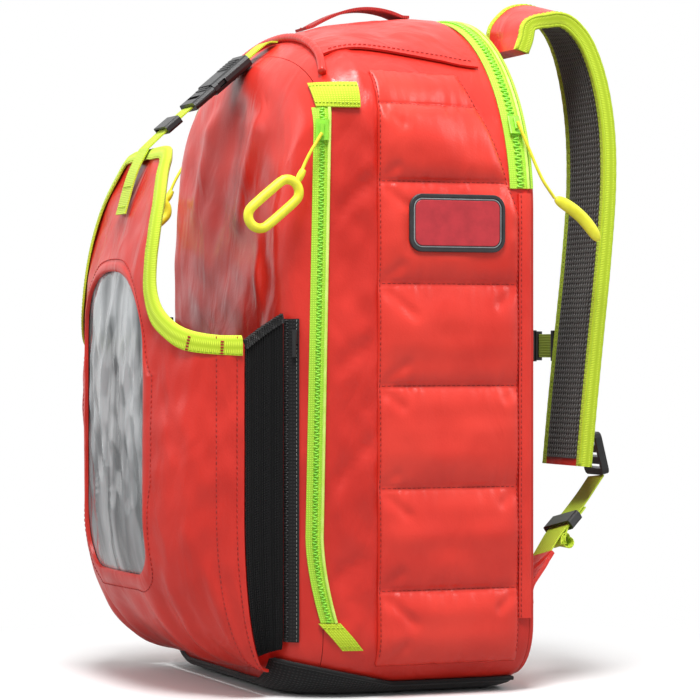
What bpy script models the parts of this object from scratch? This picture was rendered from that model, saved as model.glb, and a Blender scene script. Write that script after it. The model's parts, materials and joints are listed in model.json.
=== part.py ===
"""Trauma backpack: a hollow fabric pack with a folding front sleeve and a harness.

Metres, +Z up.  The pack stands on its boot, with the origin under the middle of it.
The front sleeve faces -Y, the harness faces +Y, and the badge is on the +X side.
"""
import math

import bmesh
import bpy
import numpy as np

# ---------------------------------------------------------------- driving sizes
GAP = 0.0004            # running gap between two pieces that touch
LAY = 0.0006            # one cloth lying on another, with room for the facets of both
WELD = 0.00001          # points nearer than this are one point

# Pack body
PACK_HEIGHT = 0.553
PACK_HALF_WIDTH = 0.165     # also the radius of the arch at the rear
REAR_Y = 0.104
FRONT_Y = -0.100
FRONT_INSET = 0.047         # how far each side has rounded in at the front face
FRONT_HALF_WIDTH = PACK_HALF_WIDTH - FRONT_INSET
FRONT_DROP = 0.058          # how far the top falls as it rounds into the front face
NOSE_START_Y = -0.020       # where the ridge begins to round down into the front face
FRONT_LEAN = 0.015          # the nose leans back towards the top by this much
FRONT_LEAN_Z = (PACK_HEIGHT - 0.193, PACK_HEIGHT - 0.033)
TOP_SLOPE = 0.017           # fall of the ridge from rear to front
FRONT_ARCH_RISE = 0.063     # height of the shallower arch at the front
CORNER_RADIUS = 0.045
FRONT_LIFT = 0.016          # the bottom edge lifts as it rounds into the front
REAR_LIFT = 0.006
FACE_CROWN = 0.004
SHELL_WALL = 0.003
SPLIT_Y = -0.070            # seam between the rear shell and the front shell
BOOT_THICK = 0.003
BOOT_SIDE_HEIGHT = 0.012
BOOT_FRONT_HEIGHT = 0.031

# Quilted side panels
QUILT_FRONT_Y = -0.028
QUILT_REAR_Y = 0.0930
QUILT_REAR_SWEEP = 0.030    # the rear edge runs forwards again beside the rear zip
QUILT_SWEEP_Z = (PACK_HEIGHT - 0.170, PACK_HEIGHT - 0.078)
QUILT_BOTTOM_Z = 0.026
QUILT_BELOW_RIDGE = 0.056   # from the quilts' top edges up to the ridge
QUILT_TOP_Z = PACK_HEIGHT - QUILT_BELOW_RIDGE
QUILT_FIRST_SEAM_Z = 0.085
QUILT_LAST_SEAM_Z = QUILT_TOP_Z - 0.027
QUILT_SHORT_ROW = 0.061     # the row under the last seam
QUILT_FULL_ROWS = 4
QUILT_PITCH = (QUILT_LAST_SEAM_Z - QUILT_SHORT_ROW - QUILT_FIRST_SEAM_Z) / QUILT_FULL_ROWS
QUILT_EDGE = 0.0022         # thickness along the sewn edges and channels
QUILT_PUFF = 0.0060         # extra thickness at the crown of a cushion
QUILT_HOLLOW = 0.0014       # how far the quilt's underside stands off the shell's facets

# Top panel, hood piping and grab handle
TOP_PANEL_THICK = 0.0020
TOP_PANEL_REAR_Y = 0.080
TOP_PANEL_REACH = 0.50      # girth stations from the ridge to the panel's edge by the quilt
HOOD_PIPING_RADIUS = 0.0035
HOOD_PIPING_Y = -0.0490
HOOD_PIPING_SWEEP = 0.0130
HOOD_REACH = 0.66           # girth stations from the ridge to each end of the hood's rim
HANDLE_FRONT_Y = -0.030
HANDLE_REAR_Y = 0.064
HANDLE_WIDTH = 0.025
HANDLE_THICK = 0.0030
HANDLE_RISE = 0.0090

# Zips
TAPE_THICK = 0.0010
TAPE_WIDTH = 0.0125
COIL_HEIGHT = 0.0014
COIL_WIDTH = 0.0045
SIDE_ZIP_LOW_Y = -0.0755    # depth of the zip at the lower end of its straight run
SIDE_ZIP_HIGH_Y = -0.0700   # and at the upper end
ZIP_BELOW_RIDGE = 0.087     # from the side zips' upper ends up to the ridge
SIDE_ZIP_TOP_Z = PACK_HEIGHT - ZIP_BELOW_RIDGE
SIDE_ZIP_BOTTOM_Z = 0.0605
SIDE_ZIP_STRAIGHT_Z = (0.130, SIDE_ZIP_TOP_Z - 0.010)
SIDE_ZIP_BOTTOM_SWEEP = 0.0115
END_TAB_SLANT = 0.85
GARAGE_HEIGHT = 0.019
GARAGE_WIDTH = 0.031
GARAGE_Y = -0.0575
END_TAB_HEIGHT = 0.021
END_TAB_WIDTH = 0.016
SIDE_SLIDER_Z = SIDE_ZIP_TOP_Z - 0.0175
SLIDER_LENGTH = 0.016
SLIDER_WIDTH = 0.0105
SLIDER_PLATE = 0.0016
REAR_ZIP_WIDTH = 0.0170
REAR_ZIP_COIL_WIDTH = 0.0065
REAR_ZIP_LOW_Z = PACK_HEIGHT - 0.148
REAR_ZIP_REST_DEG = 66.0
REAR_FLAP_LOW_Z = 0.060
REAR_FLAP_THICK = 0.0022

# Pull cords and grips
PULL_RADIUS = 0.0016
RING_HALF_LENGTH = 0.0245
RING_HALF_WIDTH = 0.0098
RING_TUBE = 0.0038
SIDE_CORD_LENGTH = 0.046
SIDE_CORD_DEG = 28.0        # lean of the pull's cord from straight down, towards the front
SIDE_RING_DEG = 50.0        # lean of the ring grip
REAR_CORD = ((0.0, 0.0, 0.0), (0.0060, 0.008, -0.024), (0.0095, 0.017, -0.046), (0.0105, 0.028, -0.062))
REAR_GRIP_REACH = (0.0, 0.0400, -0.0340)
REAR_GRIP_RADIUS = 0.0052

# Front sleeve
SLEEVE_REAR_Y = -0.1050
SLEEVE_ZIP_Y = -0.0940      # depth of the coil that joins the gusset to the front shell
SLEEVE_HALF_WIDTH = 0.145
SLEEVE_GUSSET_DEPTH = 0.028
SLEEVE_BULGE = 0.067
SLEEVE_BOTTOM_Z = 0.0205
SLEEVE_BOTTOM_NARROWING = 0.020
SLEEVE_FULL_Z = 0.150       # the rounded bottom ends here
SLEEVE_TOP_Z = PACK_HEIGHT - 0.115
SLEEVE_SHOULDER_Z = SLEEVE_TOP_Z - 0.157
SLEEVE_ROW = 0.10           # height of one unit of the sleeve's upper rows
SLEEVE_WALL = 0.0022
SLEEVE_PLAN_POWER = 2.6
SLEEVE_BOTTOM_POWER = 2.1
FLAP_TOP_HALF_WIDTH = 0.056
FLAP_NECK_HALF_WIDTH = 0.086
FLAP_LEAN_Z = SLEEVE_TOP_Z - 0.138      # above this the flap leans back to the strap
FLAP_LEAN = 0.036
WINDOW_HALF_WIDTH = 0.078
WINDOW_BOTTOM_Z = 0.094
WINDOW_TOP_Z = SLEEVE_TOP_Z - 0.098
WINDOW_CORNER = 0.030
WINDOW_ARCH = 0.062
WINDOW_SHEET = 0.0006
WINDOW_HEM = 0.009
GUSSET_THICK = 0.0016
GUSSET_TOP_Z = SLEEVE_SHOULDER_Z + 0.019
GUSSET_ZIP_SLIDER_Z = GUSSET_TOP_Z - 0.014
BINDING_THICK = 0.0014
BINDING_LEG = 0.0088
BINDING_EASE = 0.0014       # room between the binding and the cloth's facets inside it

# Closure strap and its side-release buckle
WEBBING_THICK = 0.0016
CLOSURE_WIDTH = 0.025
CLOSURE_TOP = (0.0, -0.0545, PACK_HEIGHT - 0.0135)
CLOSURE_END = (0.0, -0.170, PACK_HEIGHT - 0.1115)
BUCKLE_START = 0.036        # along the strap from its anchor on the hood
SOCKET_LENGTH = 0.040
SOCKET_WIDTH = 0.036
SOCKET_THICK = 0.0105
SOCKET_WALL = 0.0020
PLUG_STOCK_LENGTH = 0.022
PLUG_INSERT = 0.014
PRONG_WIDTH = 0.0062
KEEPER_LENGTH = 0.015
CLOSURE_KEEPER_AT = 0.1215  # along the strap, between the buckle and the flap

# Badge
BADGE_LENGTH = 0.083
BADGE_HEIGHT = 0.046
BADGE_CORNER = 0.011
BADGE_THICK = 0.0022
BADGE_Y = 0.036
BADGE_Z = PACK_HEIGHT - 0.177

# Back panel and harness
PANEL_THICK = 0.004
PANEL_EDGE_ROUND = 0.002
FRAME_SHEET_THICK = 0.0010
FRAME_SHEET_INSET = 0.014
BACK_PAD_HALF_WIDTH = 0.132
BACK_PAD_BOTTOM_Z = 0.115
BACK_PAD_BELOW_RIDGE = 0.060
BACK_PAD_TOP_Z = PACK_HEIGHT - BACK_PAD_BELOW_RIDGE
BACK_PAD_THICK = 0.013
BACK_PAD_CORNER = 0.050
STRAP_WIDTH = 0.070
STRAP_THICK = 0.012
STRAP_CENTRE_X = 0.095
STRAP_END_Z = 0.179
STRAP_DRAWN_RUN = 0.374     # height of the route that strap_route gives, from its end to the ridge
STRAP_BANK_DEG = 12.0
STERNUM_Z = 0.279
STERNUM_WIDTH = 0.020
STERNUM_BUCKLE_HALF = 0.0210
STERNUM_SLIDER = (0.008, 0.010, 0.026)
LOWER_WEBBING_WIDTH = 0.025
LOCK_WIDTH = 0.034
LOCK_HEIGHT = 0.036
LOCK_THICK = 0.006
LOCK_SLOT = 0.0038
LOCK_BAR = 0.0176           # the lock tilts about its top edge, this far above its middle
LOCK_LEAN_DEG = -14.0
LOCK_STAND = 0.0185         # how far the lock stands off the pad's outer face
LOCK_ABOVE_END = 0.010      # height of the lock's middle above the pad's lower end

SIDES = (("right", 1), ("left", -1))

# Levels of the mesh
ARCH_STEPS = 12
CORNER_STEPS = 6
SIDE_STEPS = 4
BOTTOM_STEPS = 2


# ---------------------------------------------------------------- scene helpers
def clear_scene():
    for item in list(bpy.data.objects):
        bpy.data.objects.remove(item, do_unlink=True)


MATERIALS = {
    "red_tarpaulin": ((0.72, 0.055, 0.040), 0.42, 0.0),
    "red_quilt": ((0.74, 0.060, 0.045), 0.46, 0.0),
    "red_webbing": ((0.46, 0.030, 0.025), 0.75, 0.0),
    "lime_webbing": ((0.66, 0.86, 0.04), 0.70, 0.0),
    "lime_zip": ((0.28, 0.78, 0.06), 0.60, 0.0),
    "yellow_rubber": ((0.88, 0.86, 0.05), 0.50, 0.0),
    "black_nylon": ((0.012, 0.012, 0.013), 0.80, 0.0),
    "black_plastic": ((0.015, 0.015, 0.016), 0.38, 0.0),
    "spacer_mesh": ((0.030, 0.027, 0.022), 0.90, 0.0),
    "clear_vinyl": ((0.80, 0.83, 0.84), 0.15, 0.0),
    "badge_rubber": ((0.55, 0.040, 0.045), 0.50, 0.0),
    "grey_sheet": ((0.20, 0.21, 0.22), 0.55, 0.0),
}


def material(name):
    """The Principled material of that name, made once."""
    found = bpy.data.materials.get("mat_" + name)
    if found:
        return found
    colour, roughness, metallic = MATERIALS[name]
    made = bpy.data.materials.new("mat_" + name)
    made.use_nodes = True
    shader = made.node_tree.nodes["Principled BSDF"]
    shader.inputs["Base Color"].default_value = (*colour, 1.0)
    shader.inputs["Roughness"].default_value = roughness
    shader.inputs["Metallic"].default_value = metallic
    made.diffuse_color = (*colour, 1.0)
    return made


def add_solid(name, verts, faces, finish, smooth_deg=35.0):
    """A closed mesh object in the pack's frame, with its faces turned outwards."""
    mesh = bpy.data.meshes.new(name)
    mesh.from_pydata([tuple(map(float, v)) for v in verts], [], [list(map(int, f)) for f in faces])
    work = bmesh.new()
    work.from_mesh(mesh)
    bmesh.ops.remove_doubles(work, verts=work.verts, dist=1e-6)
    bmesh.ops.recalc_face_normals(work, faces=work.faces)
    work.to_mesh(mesh)
    work.free()
    mesh.shade_smooth()
    mesh.set_sharp_from_angle(angle=math.radians(smooth_deg))
    solid = bpy.data.objects.new(name, mesh)
    solid.data.materials.append(material(finish))
    bpy.context.scene.collection.objects.link(solid)
    return solid


def joint_empty(name, pivot, parent=None):
    """An empty on a joint's axis; the pieces that move with the joint are its children."""
    empty = bpy.data.objects.new(name, None)
    empty.empty_display_size = 0.02
    bpy.context.scene.collection.objects.link(empty)
    if parent:
        empty.parent = parent
        empty.location = np.array(pivot) - np.array(world_place(parent))
    else:
        empty.location = pivot
    return empty


def world_place(item):
    """The world location of an unturned object, summed up its parents."""
    place = np.array(item.location)
    while item.parent:
        item = item.parent
        place = place + np.array(item.location)
    return place


def carry(empty, *solids):
    """Parent solids to an empty without moving them."""
    place = world_place(empty)
    for solid in solids:
        solid.parent = empty
        solid.location = -place


def cut(solid, cutter, operation="DIFFERENCE"):
    """Apply an exact boolean to a solid and throw the cutter away."""
    step = solid.modifiers.new(operation.lower(), "BOOLEAN")
    step.operation = operation
    step.solver = "EXACT"
    step.object = cutter
    bpy.context.view_layer.update()
    shaped = bpy.data.meshes.new_from_object(solid.evaluated_get(bpy.context.evaluated_depsgraph_get()))
    work = bmesh.new()
    work.from_mesh(shaped)
    bmesh.ops.remove_doubles(work, verts=work.verts, dist=WELD)
    bmesh.ops.dissolve_degenerate(work, edges=work.edges, dist=WELD)
    work.to_mesh(shaped)
    work.free()
    solid.modifiers.remove(step)
    solid.data = shaped
    bpy.data.objects.remove(cutter, do_unlink=True)
    return solid


# ---------------------------------------------------------------- mesh builders
def ring_faces(rings, count):
    """Quads between consecutive closed rings of count points."""
    faces = []
    for r in range(rings - 1):
        for k in range(count):
            n = (k + 1) % count
            faces.append((r * count + k, r * count + n, (r + 1) * count + n, (r + 1) * count + k))
    return faces


def loft(name, rings, finish, smooth_deg=35.0):
    """A solid through closed rings of equal counts, with a flat cap at each end."""
    rings = np.asarray(rings)
    total, count = rings.shape[:2]
    faces = ring_faces(total, count)
    faces.append(tuple(range(count)))
    faces.append(tuple((total - 1) * count + k for k in range(count)))
    return add_solid(name, rings.reshape(-1, 3), faces, finish, smooth_deg)


def slab(name, inner, outer, finish, wrap=False, cap_last=False, smooth_deg=35.0):
    """A closed wall between two grids; wrap joins its columns, cap_last closes both last rows."""
    inner = np.asarray(inner)
    outer = np.asarray(outer)
    rows, cols = outer.shape[:2]
    verts = np.concatenate([outer.reshape(-1, 3), inner.reshape(-1, 3)])
    shift = rows * cols
    faces = []
    for r in range(rows - 1):
        for c in range(cols if wrap else cols - 1):
            n = (c + 1) % cols
            quad = (r * cols + c, r * cols + n, (r + 1) * cols + n, (r + 1) * cols + c)
            faces.append(quad)
            faces.append(tuple(shift + i for i in reversed(quad)))
    edges = []
    for c in range(cols if wrap else cols - 1):
        n = (c + 1) % cols
        edges.append((c, n))
        if not cap_last:
            edges.append(((rows - 1) * cols + n, (rows - 1) * cols + c))
    if not wrap:
        for r in range(rows - 1):
            edges.append(((r + 1) * cols, r * cols))
            edges.append((r * cols + cols - 1, (r + 1) * cols + cols - 1))
    for a, b in edges:
        faces.append((a, shift + a, shift + b, b))
    if cap_last:
        last = [(rows - 1) * cols + c for c in range(cols)]
        faces.append(tuple(last))
        faces.append(tuple(shift + i for i in reversed(last)))
    return add_solid(name, verts, faces, finish, smooth_deg)


def front_view_prism(outline, rear=0.0, front=-0.30):
    """A straight prism along Y over a closed front view outline, used as a cutter."""
    outline = np.asarray(outline)
    rings = [np.column_stack([outline[:, 0], np.full(len(outline), depth), outline[:, 1]])
             for depth in (rear, front)]
    solid = loft("cutter", rings, "black_nylon")
    solid.hide_render = True
    solid.display_type = "WIRE"
    return solid


def rounded_rectangle(half_a, half_b, radius, steps=3):
    """Points of a rectangle with round corners, counter-clockwise from its right side."""
    points = []
    for quarter, (sa, sb) in enumerate(((1, -1), (1, 1), (-1, 1), (-1, -1))):
        start = math.radians(-90 + 90 * quarter)
        for step in range(steps + 1):
            turn = start + math.radians(90) * step / steps
            points.append((sa * (half_a - radius) + radius * math.cos(turn),
                           sb * (half_b - radius) + radius * math.sin(turn)))
    return np.array(points)


def unit(vectors):
    vectors = np.asarray(vectors, float)
    return vectors / np.linalg.norm(vectors, axis=-1, keepdims=True)


def smooth_path(points, count):
    """An even walk of count points along a centripetal curve through the given points."""
    points = np.asarray(points, float)
    ends = np.vstack([2 * points[0] - points[1], points, 2 * points[-1] - points[-2]])
    fine = []
    for k in range(len(points) - 1):
        a, b, c, d = ends[k:k + 4]
        for t in np.linspace(0, 1, 24, endpoint=False):
            fine.append(0.5 * (2 * b + (c - a) * t + (2 * a - 5 * b + 4 * c - d) * t ** 2
                               + (3 * b - a - 3 * c + d) * t ** 3))
    fine.append(points[-1])
    fine = np.array(fine)
    walked = np.concatenate([[0], np.cumsum(np.linalg.norm(np.diff(fine, axis=0), axis=1))])
    even = np.linspace(0, walked[-1], count)
    return np.column_stack([np.interp(even, walked, fine[:, k]) for k in range(3)])


def sweep(name, path, across, section, finish, smooth_deg=35.0):
    """A flat section carried along a path; across is the width direction at each point."""
    path = np.asarray(path, float)
    along = unit(np.gradient(path, axis=0))
    across = np.broadcast_to(np.asarray(across, float), path.shape)
    across = unit(across - along * np.sum(across * along, axis=1, keepdims=True))
    out = np.cross(along, across)
    rings = [p + section[:, :1] * a + section[:, 1:] * o for p, a, o in zip(path, across, out)]
    return loft(name, rings, finish, smooth_deg)


def ribbon(name, path, across, width, thick, finish):
    """Flat webbing along a path, with slightly rounded edges."""
    section = rounded_rectangle(width / 2, thick / 2, thick * 0.35, steps=1)
    return sweep(name, path, across, section, finish)


def tube(name, path, radius, finish, sides=8):
    """A round cord along an open path."""
    path = np.asarray(path, float)
    spread = path.max(axis=0) - path.min(axis=0)
    across = np.eye(3)[int(np.argmin(spread))]
    turns = np.linspace(0, 2 * math.pi, sides, endpoint=False)
    return sweep(name, path, across, radius * np.column_stack([np.cos(turns), np.sin(turns)]), finish)


def block(name, centre, axes, sizes, finish, bevel=0.0):
    """A box with its own axes (rows of axes) and bevelled edges."""
    half = np.asarray(sizes) / 2
    if bevel:
        section = rounded_rectangle(half[0], half[1], bevel, steps=2)
    else:
        section = np.array([(1, -1), (1, 1), (-1, 1), (-1, -1)]) * half[:2]
    axes = np.asarray(axes, float)
    flat = np.asarray(centre) + section[:, :1] * axes[0] + section[:, 1:] * axes[1]
    return loft(name, [flat - half[2] * axes[2], flat + half[2] * axes[2]], finish)


# ---------------------------------------------------------------- the pack's surface
BOTTOM_Z = BOOT_THICK + LAY


def half_width(y):
    """Half the pack's width: constant at the rear and rounding in towards the front."""
    t = np.clip(-y / -FRONT_Y, 0, 1)
    power = 2.1
    return FRONT_HALF_WIDTH + (PACK_HALF_WIDTH - FRONT_HALF_WIDTH) * (1 - t ** power) ** (1 / power)


def top_height(y):
    """Height of the ridge: a gentle fall, then a round nose into the front face."""
    fall = TOP_SLOPE * np.clip((0.05 - y) / 0.10, 0, None) ** 1.3
    t = np.clip((NOSE_START_Y - y) / (NOSE_START_Y - FRONT_Y), 0, 1)
    nose = FRONT_DROP * (1 - np.sqrt(1 - t ** 2))
    return PACK_HEIGHT - fall - nose


def bottom_height(y):
    """Height of the underside: flat, lifting as it rounds into the front and rear faces."""
    t = np.clip((-y - 0.02) / (-FRONT_Y - 0.02), 0, 1)
    r = np.clip((y - 0.07) / (REAR_Y - 0.07), 0, 1)
    return (BOTTOM_Z + FRONT_LIFT * (1 - (1 - t ** 4) ** 0.25)
            + REAR_LIFT * (1 - np.sqrt(1 - r ** 2)))


def arch_rise(y):
    """Height of the arch: a true half circle at the rear, shallower at the front."""
    t = np.clip((y - SPLIT_Y) / (REAR_Y - REAR_ZIP_WIDTH - 0.004 - SPLIT_Y), 0, 1)
    blend = t * t * (3 - 2 * t)
    return FRONT_ARCH_RISE + (PACK_HALF_WIDTH - FRONT_ARCH_RISE) * blend


def surface(s, y):
    """A point of the pack at girth station s and depth y.

    |s| runs 0..1 along the underside from its middle, 1..2 round the bottom corner,
    2..3 up the side and 3..4 over the arch to the ridge; s > 0 is the +X side."""
    s, y = np.broadcast_arrays(np.asarray(s, float), np.asarray(y, float))
    side = np.where(s < 0, -1.0, 1.0)
    a = np.abs(s)
    w = half_width(y)
    low = bottom_height(y)
    rise = arch_rise(y)
    spring = top_height(y) - rise
    r = CORNER_RADIUS
    turn = np.clip(a - 1, 0, 1) * math.pi / 2
    lift = np.clip(a - 3, 0, 1) * math.pi / 2
    x = np.where(a <= 1, a * (w - r), np.where(a <= 2, w - r + r * np.sin(turn),
                                               np.where(a <= 3, w, w * np.cos(lift))))
    z = np.where(a <= 1, low, np.where(a <= 2, low + r - r * np.cos(turn),
                                       np.where(a <= 3, low + r + (a - 2) * (spring - low - r),
                                                spring + rise * np.sin(lift))))
    nose = np.clip((y / FRONT_Y - 0.80) / 0.20, 0, 1) ** 1.5
    lean_low, lean_high = FRONT_LEAN_Z
    back = FRONT_LEAN * nose * np.clip((z - lean_low) / (lean_high - lean_low), 0, 1) ** 1.2
    return np.stack([side * x, y + back, z], axis=-1)


def skin(s, y, lift=0.0):
    """A point lifted off the pack's surface along its outward normal."""
    s, y = np.broadcast_arrays(np.asarray(s, float), np.asarray(y, float))
    here = surface(s, y)
    ds = np.where(np.abs(s) > 3.999, -1e-3, 1e-3) * np.where(s < 0, -1, 1)
    along_s = (surface(s + ds, y) - here) / ds[..., None]
    along_y = (surface(s, y + 1e-4) - here) / 1e-4
    normal = unit(np.cross(along_s, along_y))
    middle = np.stack([np.zeros_like(y), y, np.full_like(y, PACK_HEIGHT / 2)], axis=-1)
    outward = np.sign(np.sum(normal * (here - middle), axis=-1, keepdims=True))
    return here + normal * outward * np.asarray(lift)[..., None]


def girth_at(z, y):
    """The girth station of height z on the pack's side at depth y."""
    low = bottom_height(y) + CORNER_RADIUS
    rise = arch_rise(y)
    spring = top_height(y) - rise
    on_corner = 1 + np.arccos(np.clip((low - z) / CORNER_RADIUS, 0, 1)) / (math.pi / 2)
    on_side = 2 + (z - low) / (spring - low)
    on_arch = 3 + np.arcsin(np.clip((z - spring) / rise, 0, 1)) / (math.pi / 2)
    return np.where(z < low, on_corner, np.where(z < spring, on_side, on_arch))


def girth_stations():
    """Girth stations once round the pack, denser on the corners and the arch."""
    half = np.concatenate([
        np.linspace(0, 1, BOTTOM_STEPS, endpoint=False),
        np.linspace(1, 2, CORNER_STEPS, endpoint=False),
        np.linspace(2, 3, SIDE_STEPS, endpoint=False),
        np.linspace(3, 4, ARCH_STEPS + 1)])
    return np.concatenate([half, -half[-2:0:-1]])


NOSE_STATIONS = FRONT_Y * np.array([0.79, 0.88, 0.95, 0.99, 1.0])


# ---------------------------------------------------------------- pack shells
def main_shell_depths():
    """Depths of the rear shell's rows, from its rear edge to the seam with the front shell."""
    return np.concatenate([[REAR_Y], np.linspace(REAR_Y - 0.020, SPLIT_Y + GAP, 6)])


def make_rear_shell():
    """The gusset ring of the main compartment, open to the front shell and the back panel."""
    s, y = np.meshgrid(girth_stations(), main_shell_depths())
    slab("main_shell", skin(s, y, -SHELL_WALL), skin(s, y), "red_tarpaulin", wrap=True)


def make_front_shell():
    """The front tray of the main compartment, with its softly crowned face."""
    depths = np.concatenate([[SPLIT_Y], NOSE_STATIONS])
    s, y = np.meshgrid(girth_stations(), depths)
    grids = []
    for lift in (-SHELL_WALL, 0.0):
        side = skin(s, y, lift)
        rim = side[-1]
        middle = np.array([0.0, rim[:, 1].min(), (BOTTOM_Z + PACK_HEIGHT) / 2])
        face = []
        for k in (0.78, 0.45, 0.10):
            ring = middle + k * (rim - middle)
            ring[:, 1] -= FACE_CROWN * (1 - k ** 2)
            face.append(ring)
        grids.append(np.concatenate([side, np.array(face)]))
    slab("front_shell", grids[0], grids[1], "red_tarpaulin", wrap=True, cap_last=True)


def make_boot():
    """The black coated boot under the pack, turned up higher at the front."""
    depths = np.concatenate([[REAR_Y - 0.006], main_shell_depths()[1:-1], [SPLIT_Y], NOSE_STATIONS[:4]])
    t = (depths - depths[-1]) / (depths[0] - depths[-1])
    top = BOOT_FRONT_HEIGHT + (BOOT_SIDE_HEIGHT - BOOT_FRONT_HEIGHT) * np.clip(t * 2.2, 0, 1)
    top = np.maximum(top, bottom_height(depths) + 0.004)
    reach = np.array([float(girth_at(z, y)) for z, y in zip(top, depths)])
    corner = 1 + np.arange(3) / CORNER_STEPS
    fixed = np.broadcast_to(np.concatenate([np.arange(BOTTOM_STEPS) / BOTTOM_STEPS, corner]),
                            (len(depths), BOTTOM_STEPS + 3))
    last = np.minimum(1.5, (corner[-1] + reach) / 2 + 0.04)
    right = np.column_stack([fixed, last, reach])
    s = np.concatenate([-right[:, :0:-1], right], axis=1)
    y = np.broadcast_to(depths[:, None], s.shape)
    inner = skin(s, y, LAY)
    outer = skin(s, y, LAY + BOOT_THICK)
    outer[..., 2] = np.maximum(outer[..., 2], 0.0)
    slab("base_boot", inner, outer, "black_nylon")


def quilt_seams():
    rows = [QUILT_FIRST_SEAM_Z + k * QUILT_PITCH for k in range(QUILT_FULL_ROWS + 1)]
    return [QUILT_BOTTOM_Z, *rows, QUILT_LAST_SEAM_Z, QUILT_TOP_Z]


def make_quilts():
    """Padded side panels: one row of cushion between each two stitched channels."""
    seams = quilt_seams()
    heights = []
    puff_rows = []
    for low, high in zip(seams, seams[1:]):
        shares = np.array([0.0, 0.13, 0.5, 0.87])
        crowns = np.array([0.0, 0.62, 1.0, 0.62])
        if high > QUILT_LAST_SEAM_Z - 0.001 or low < BOTTOM_Z + CORNER_RADIUS:
            shares = np.array([0.0, 0.13, 0.3, 0.5, 0.7, 0.87])
            crowns = np.array([0.0, 0.62, 0.9, 1.0, 0.9, 0.62])
        heights.extend(low + (high - low) * shares)
        puff_rows.extend(crowns)
    heights.append(seams[-1])
    puff_rows.append(0.0)
    shares = np.array([0.0, 0.10, 0.5, 0.90, 1.0])
    puff_cols = np.array([0.0, 0.80, 1.0, 0.80, 0.0])
    heights = np.array(heights)
    low, high = QUILT_SWEEP_Z
    rear = QUILT_REAR_Y - QUILT_REAR_SWEEP * np.clip((heights - low) / (high - low), 0, 1.2)
    z = np.broadcast_to(heights[:, None], (len(heights), len(shares)))
    y = QUILT_FRONT_Y + (rear[:, None] - QUILT_FRONT_Y) * shares[None, :]
    puff = np.array(puff_rows)[:, None] * puff_cols[None, :]
    for side, sign in SIDES:
        s = sign * girth_at(z, y)
        inner = skin(s, y, 1.5 * LAY + QUILT_HOLLOW * (puff_cols > 0)[None, :] + 0 * z)
        outer = skin(s, y, LAY + QUILT_EDGE + QUILT_PUFF * puff)
        slab("side_quilt_" + side, inner, outer, "red_quilt", smooth_deg=60)


def hood_line(s):
    """Depth of the hood's rim at girth station s: it bows forwards towards its ends."""
    return HOOD_PIPING_Y - HOOD_PIPING_SWEEP * ((4 - np.abs(s)) / HOOD_REACH) ** 2.2


def across_ridge(reach, count):
    """Girth stations over the ridge, from one side to the other."""
    share = np.linspace(-1, 1, count)
    return np.where(share < 0, -1, 1) * (4 - np.abs(share) * reach)


def make_top_panel():
    """The smooth panel over the ridge, from the hood's rim back to the rear zip."""
    s = across_ridge(TOP_PANEL_REACH, 2 * round(TOP_PANEL_REACH * ARCH_STEPS) + 1)
    front = hood_line(s) + HOOD_PIPING_RADIUS - GAP
    inside = [y for y in main_shell_depths() if front.max() < y < TOP_PANEL_REAR_Y]
    y = np.array([front] + [np.full_like(front, depth) for depth in (*sorted(inside), TOP_PANEL_REAR_Y)])
    s = np.broadcast_to(s[None, :], y.shape)
    slab("top_panel", skin(s, y, 2 * LAY), skin(s, y, 2 * LAY + TOP_PANEL_THICK), "red_tarpaulin")


def make_hood_piping():
    """The corded rim over the front yoke, running down to the two zip garages."""
    s = across_ridge(HOOD_REACH, 19)
    path = skin(s, hood_line(s), HOOD_PIPING_RADIUS + GAP)
    turns = np.linspace(0, 2 * math.pi, 6, endpoint=False)
    section = HOOD_PIPING_RADIUS * np.column_stack([np.cos(turns), np.sin(turns)])
    sweep("hood_piping", path, (0, 1, 0), section, "red_tarpaulin", 60)


def make_grab_handle():
    """A webbing grab handle along the ridge, bowed up between its two sewn ends."""
    seat = 2 * LAY + TOP_PANEL_THICK + GAP + HANDLE_THICK / 2
    path = []
    for share in np.linspace(0, 1, 12):
        y = HANDLE_FRONT_Y + (HANDLE_REAR_Y - HANDLE_FRONT_Y) * share
        bow = HANDLE_RISE * np.clip(math.sin(share * math.pi) * 1.25 - 0.25, 0, 1)
        path.append((0.0, y, float(skin(4.0, y, seat)[2]) + bow))
    ribbon("grab_handle", path, (1, 0, 0), HANDLE_WIDTH, HANDLE_THICK, "red_webbing")


# ---------------------------------------------------------------- zips
def side_zip_depth(z):
    """The side zip's line: straight where its slider runs, swept back below."""
    low, high = SIDE_ZIP_STRAIGHT_Z
    straight = SIDE_ZIP_LOW_Y + (SIDE_ZIP_HIGH_Y - SIDE_ZIP_LOW_Y) * (z - low) / (high - low)
    down = np.clip((low - z) / (low - SIDE_ZIP_BOTTOM_Z), 0, 1)
    below = np.clip(SIDE_ZIP_BOTTOM_Z - z, 0, None)
    return straight + SIDE_ZIP_BOTTOM_SWEEP * down ** 1.7 + END_TAB_SLANT * below


def zip_profile(width):
    """Offsets across a zip tape and its height there: flat tape with a raised coil."""
    half = COIL_WIDTH / 2
    across = np.array([-width / 2, -half - 0.0006, -half, half, half + 0.0006, width / 2])
    height = TAPE_THICK + np.array([0, 0, COIL_HEIGHT, COIL_HEIGHT, 0, 0])
    return across, height


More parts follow.
